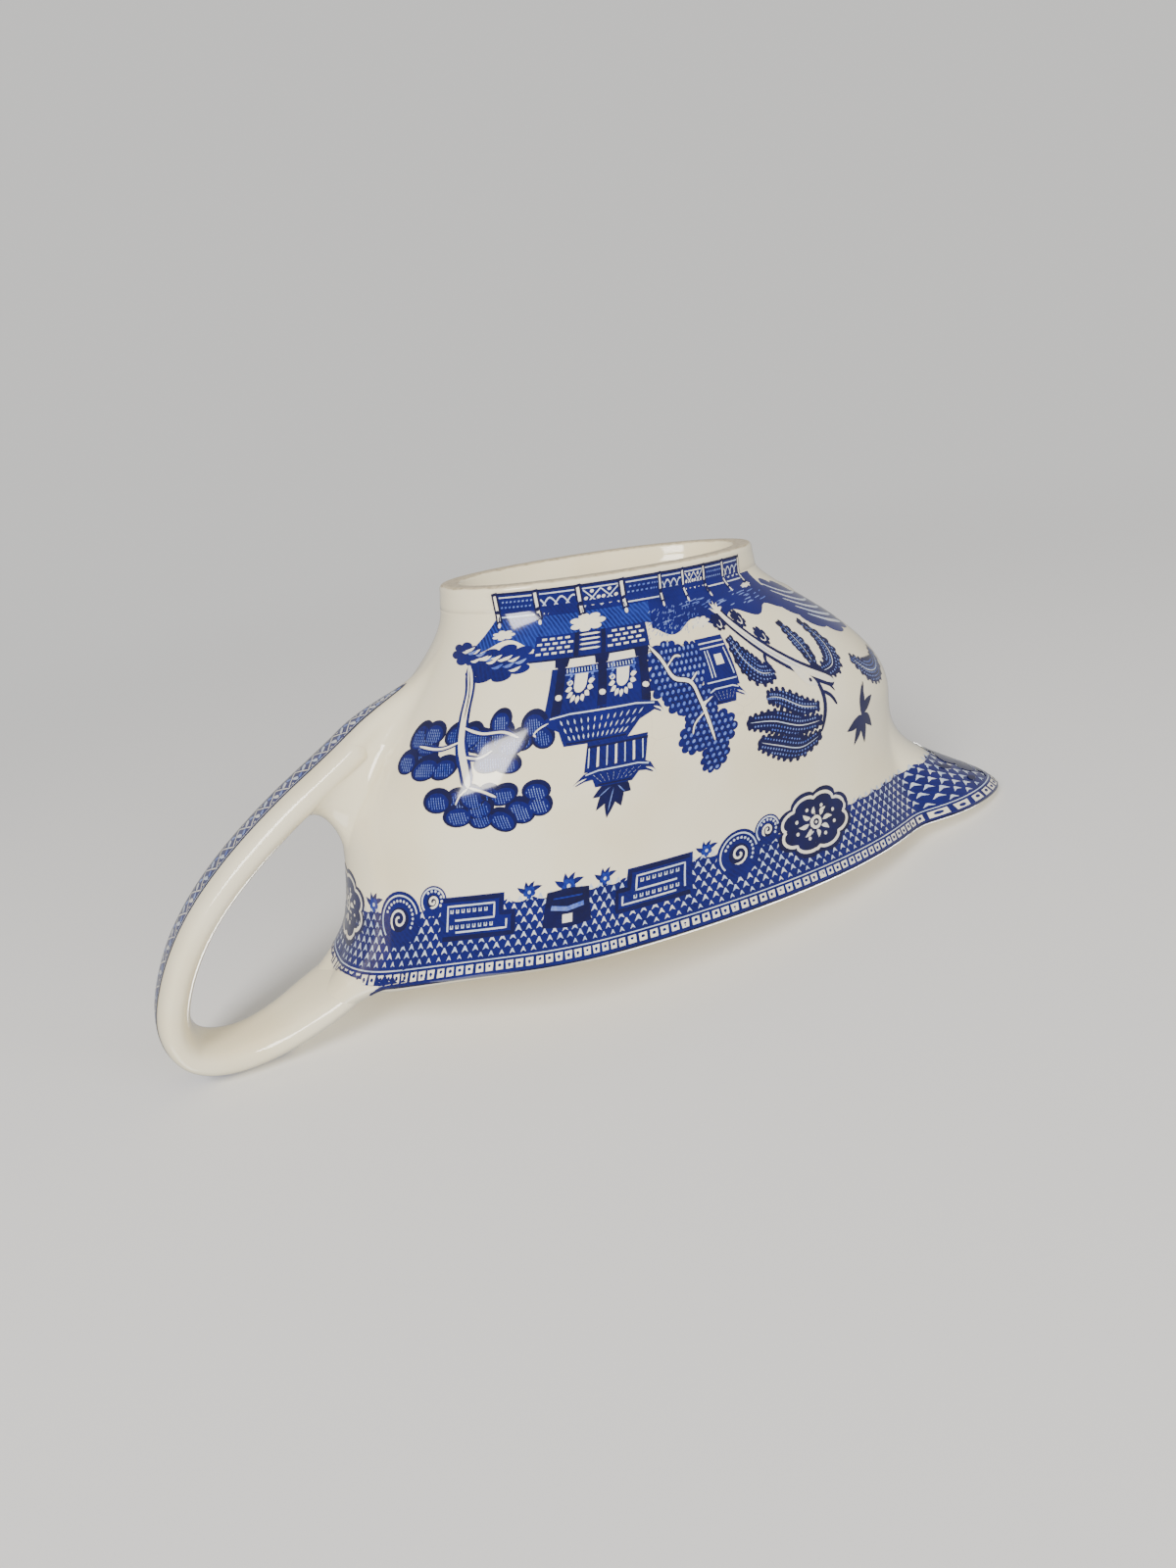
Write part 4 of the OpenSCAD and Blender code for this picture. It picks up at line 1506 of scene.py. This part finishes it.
skins = Drape([upper_joint, lower_joint])
border = draw_border(FRONT_U, BACK_U)
lay_print("side_scene_left", draw_side_scene(True), on_left, skins)
lay_print("side_scene_right", draw_side_scene(False), on_right_turned, skins)
lay_print("rim_border_left", border, on_left, skins)
lay_print("rim_border_right", border, on_right, skins)
lay_print("spout_print", draw_lip_print(), on_lip, lowest=14.0)
lay_print("handle_strip_print", draw_handle_strip(strip_run[-1]), on_strap, skins, 8.0, 0.0, on_tip=True)


# ---- Stage, lights and camera ----

def floor_material(name, centre, reach_m):
    """A pale floor seen from its front only, fading out away from its middle."""
    n = Nodes(bpy.data.materials.new(name))
    place = n.new("NewGeometry")
    away = n.new("VectorMath", {0: place.outputs["Position"], 1: centre}, operation="DISTANCE")
    faded = n.ramp(away.outputs["Value"], reach_m * FADE_START, reach_m)
    hidden = n.math("MAXIMUM", faded, place.outputs["Backfacing"])
    n.end(hidden, n.new("BsdfDiffuse", {"Color": PALE}), n.new("BsdfTransparent"))
    n.tree.nodes.remove(n.shader)
    return n.owner


def make_floor(name, centre, normal, reach_m):
    """A round floor that only the camera sees, so that it neither blocks nor bounces light."""
    rim = [polar(0, 0, turn, reach_m) for turn in np.arange(0, 360, 3.75)]
    mesh = bpy.data.meshes.new(name)
    mesh.from_pydata([(x, y, 0) for x, y in rim], [], [list(range(len(rim)))])
    mesh.materials.append(floor_material(name, centre, reach_m))
    obj = bpy.data.objects.new(name, mesh)
    obj.rotation_mode = "QUATERNION"
    obj.rotation_quaternion = Vector(normal).to_track_quat("Z", "Y")
    obj.location = centre
    bpy.context.scene.collection.objects.link(obj)
    obj.visible_shadow = False
    obj.visible_diffuse = False
    obj.visible_glossy = False
    obj.visible_transmission = False


def area_light(name, place, width, height, power, colour):
    """A rectangular softbox at place, in metres, facing the boat's middle."""
    data = bpy.data.lights.new(name, "AREA")
    data.shape = "RECTANGLE"
    data.size = width
    data.size_y = height
    data.energy = power
    data.color = colour
    obj = bpy.data.objects.new(name, data)
    obj.location = place
    obj.rotation_mode = "QUATERNION"
    obj.rotation_quaternion = (MIDDLE - Vector(place)).to_track_quat("-Z", "Y")
    bpy.context.scene.collection.objects.link(obj)
    return obj


def make_world():
    """Pale to the camera, and a dimmer even grey as light."""
    n = Nodes(bpy.data.worlds.new("studio"))
    lit = n.new("Background", {"Color": (0.95, 0.95, 0.96, 1.0), "Strength": 0.5})
    seen = n.new("Background", {"Color": PALE, "Strength": 1.0})
    n.end(n.new("LightPath").outputs["Is Camera Ray"], lit, seen)
    bpy.context.scene.world = n.owner


def make_camera():
    """The photo's viewpoint, found by fitting the boat's outlines to it. It sees the boat inverted."""
    data = bpy.data.cameras.new("camera")
    data.lens = 27.05
    data.sensor_width = 36.0
    data.clip_start = 0.01
    camera = bpy.data.objects.new("camera", data)
    camera.rotation_euler = [math.radians(turn) for turn in CAMERA_TURN]
    camera.location = CAMERA_PLACE
    bpy.context.scene.collection.objects.link(camera)
    bpy.context.scene.camera = camera


# The boat lies upside down in the main view, on the handle's top and the lip.
HANDLE_TOP = Vector((-0.097, 0.0, CAD_BOX[1].z))
LIP = Vector((CAD_BOX[1].x - 0.004, 0.0, RIM_HEIGHT * MM))
LYING_GAP = Vector((0, 0, 0.0006))
SIDE_SLOPE = 0.085
LONG_SLOPE = (LIP.z - HANDLE_TOP.z) / (LIP.x - HANDLE_TOP.x)
FLOOR_REACH = 0.5
FADE_START = 0.35
MIDDLE = Vector((0.0, 0.0, 0.045))
CAMERA_PLACE = (-0.096763, 0.240505, -0.028116)
CAMERA_TURN = (-106.872, -6.613, 22.095)

make_world()
lying_at = (HANDLE_TOP + LIP) / 2 + LYING_GAP
make_floor("floor_lying", lying_at, (LONG_SLOPE, SIDE_SLOPE, -1.0), FLOOR_REACH)
make_floor("floor_standing", (0, 0, 0), (0, 0, 1), FLOOR_REACH)
area_light("window", (-0.75, 0.75, -0.62), 0.42, 0.55, 16.0, (1.0, 0.97, 0.93))
front_fill = area_light("front_fill", (0.35, 1.1, -0.2), 0.9, 0.9, 10.0, (0.98, 0.98, 1.0))
front_fill.visible_glossy = False
area_light("standing_key", (0.6, -0.7, 0.85), 0.5, 0.5, 13.0, (1.0, 0.98, 0.95))
area_light("standing_fill", (-0.7, 0.35, 0.8), 0.6, 0.6, 4.0, (0.95, 0.97, 1.0))
make_camera()
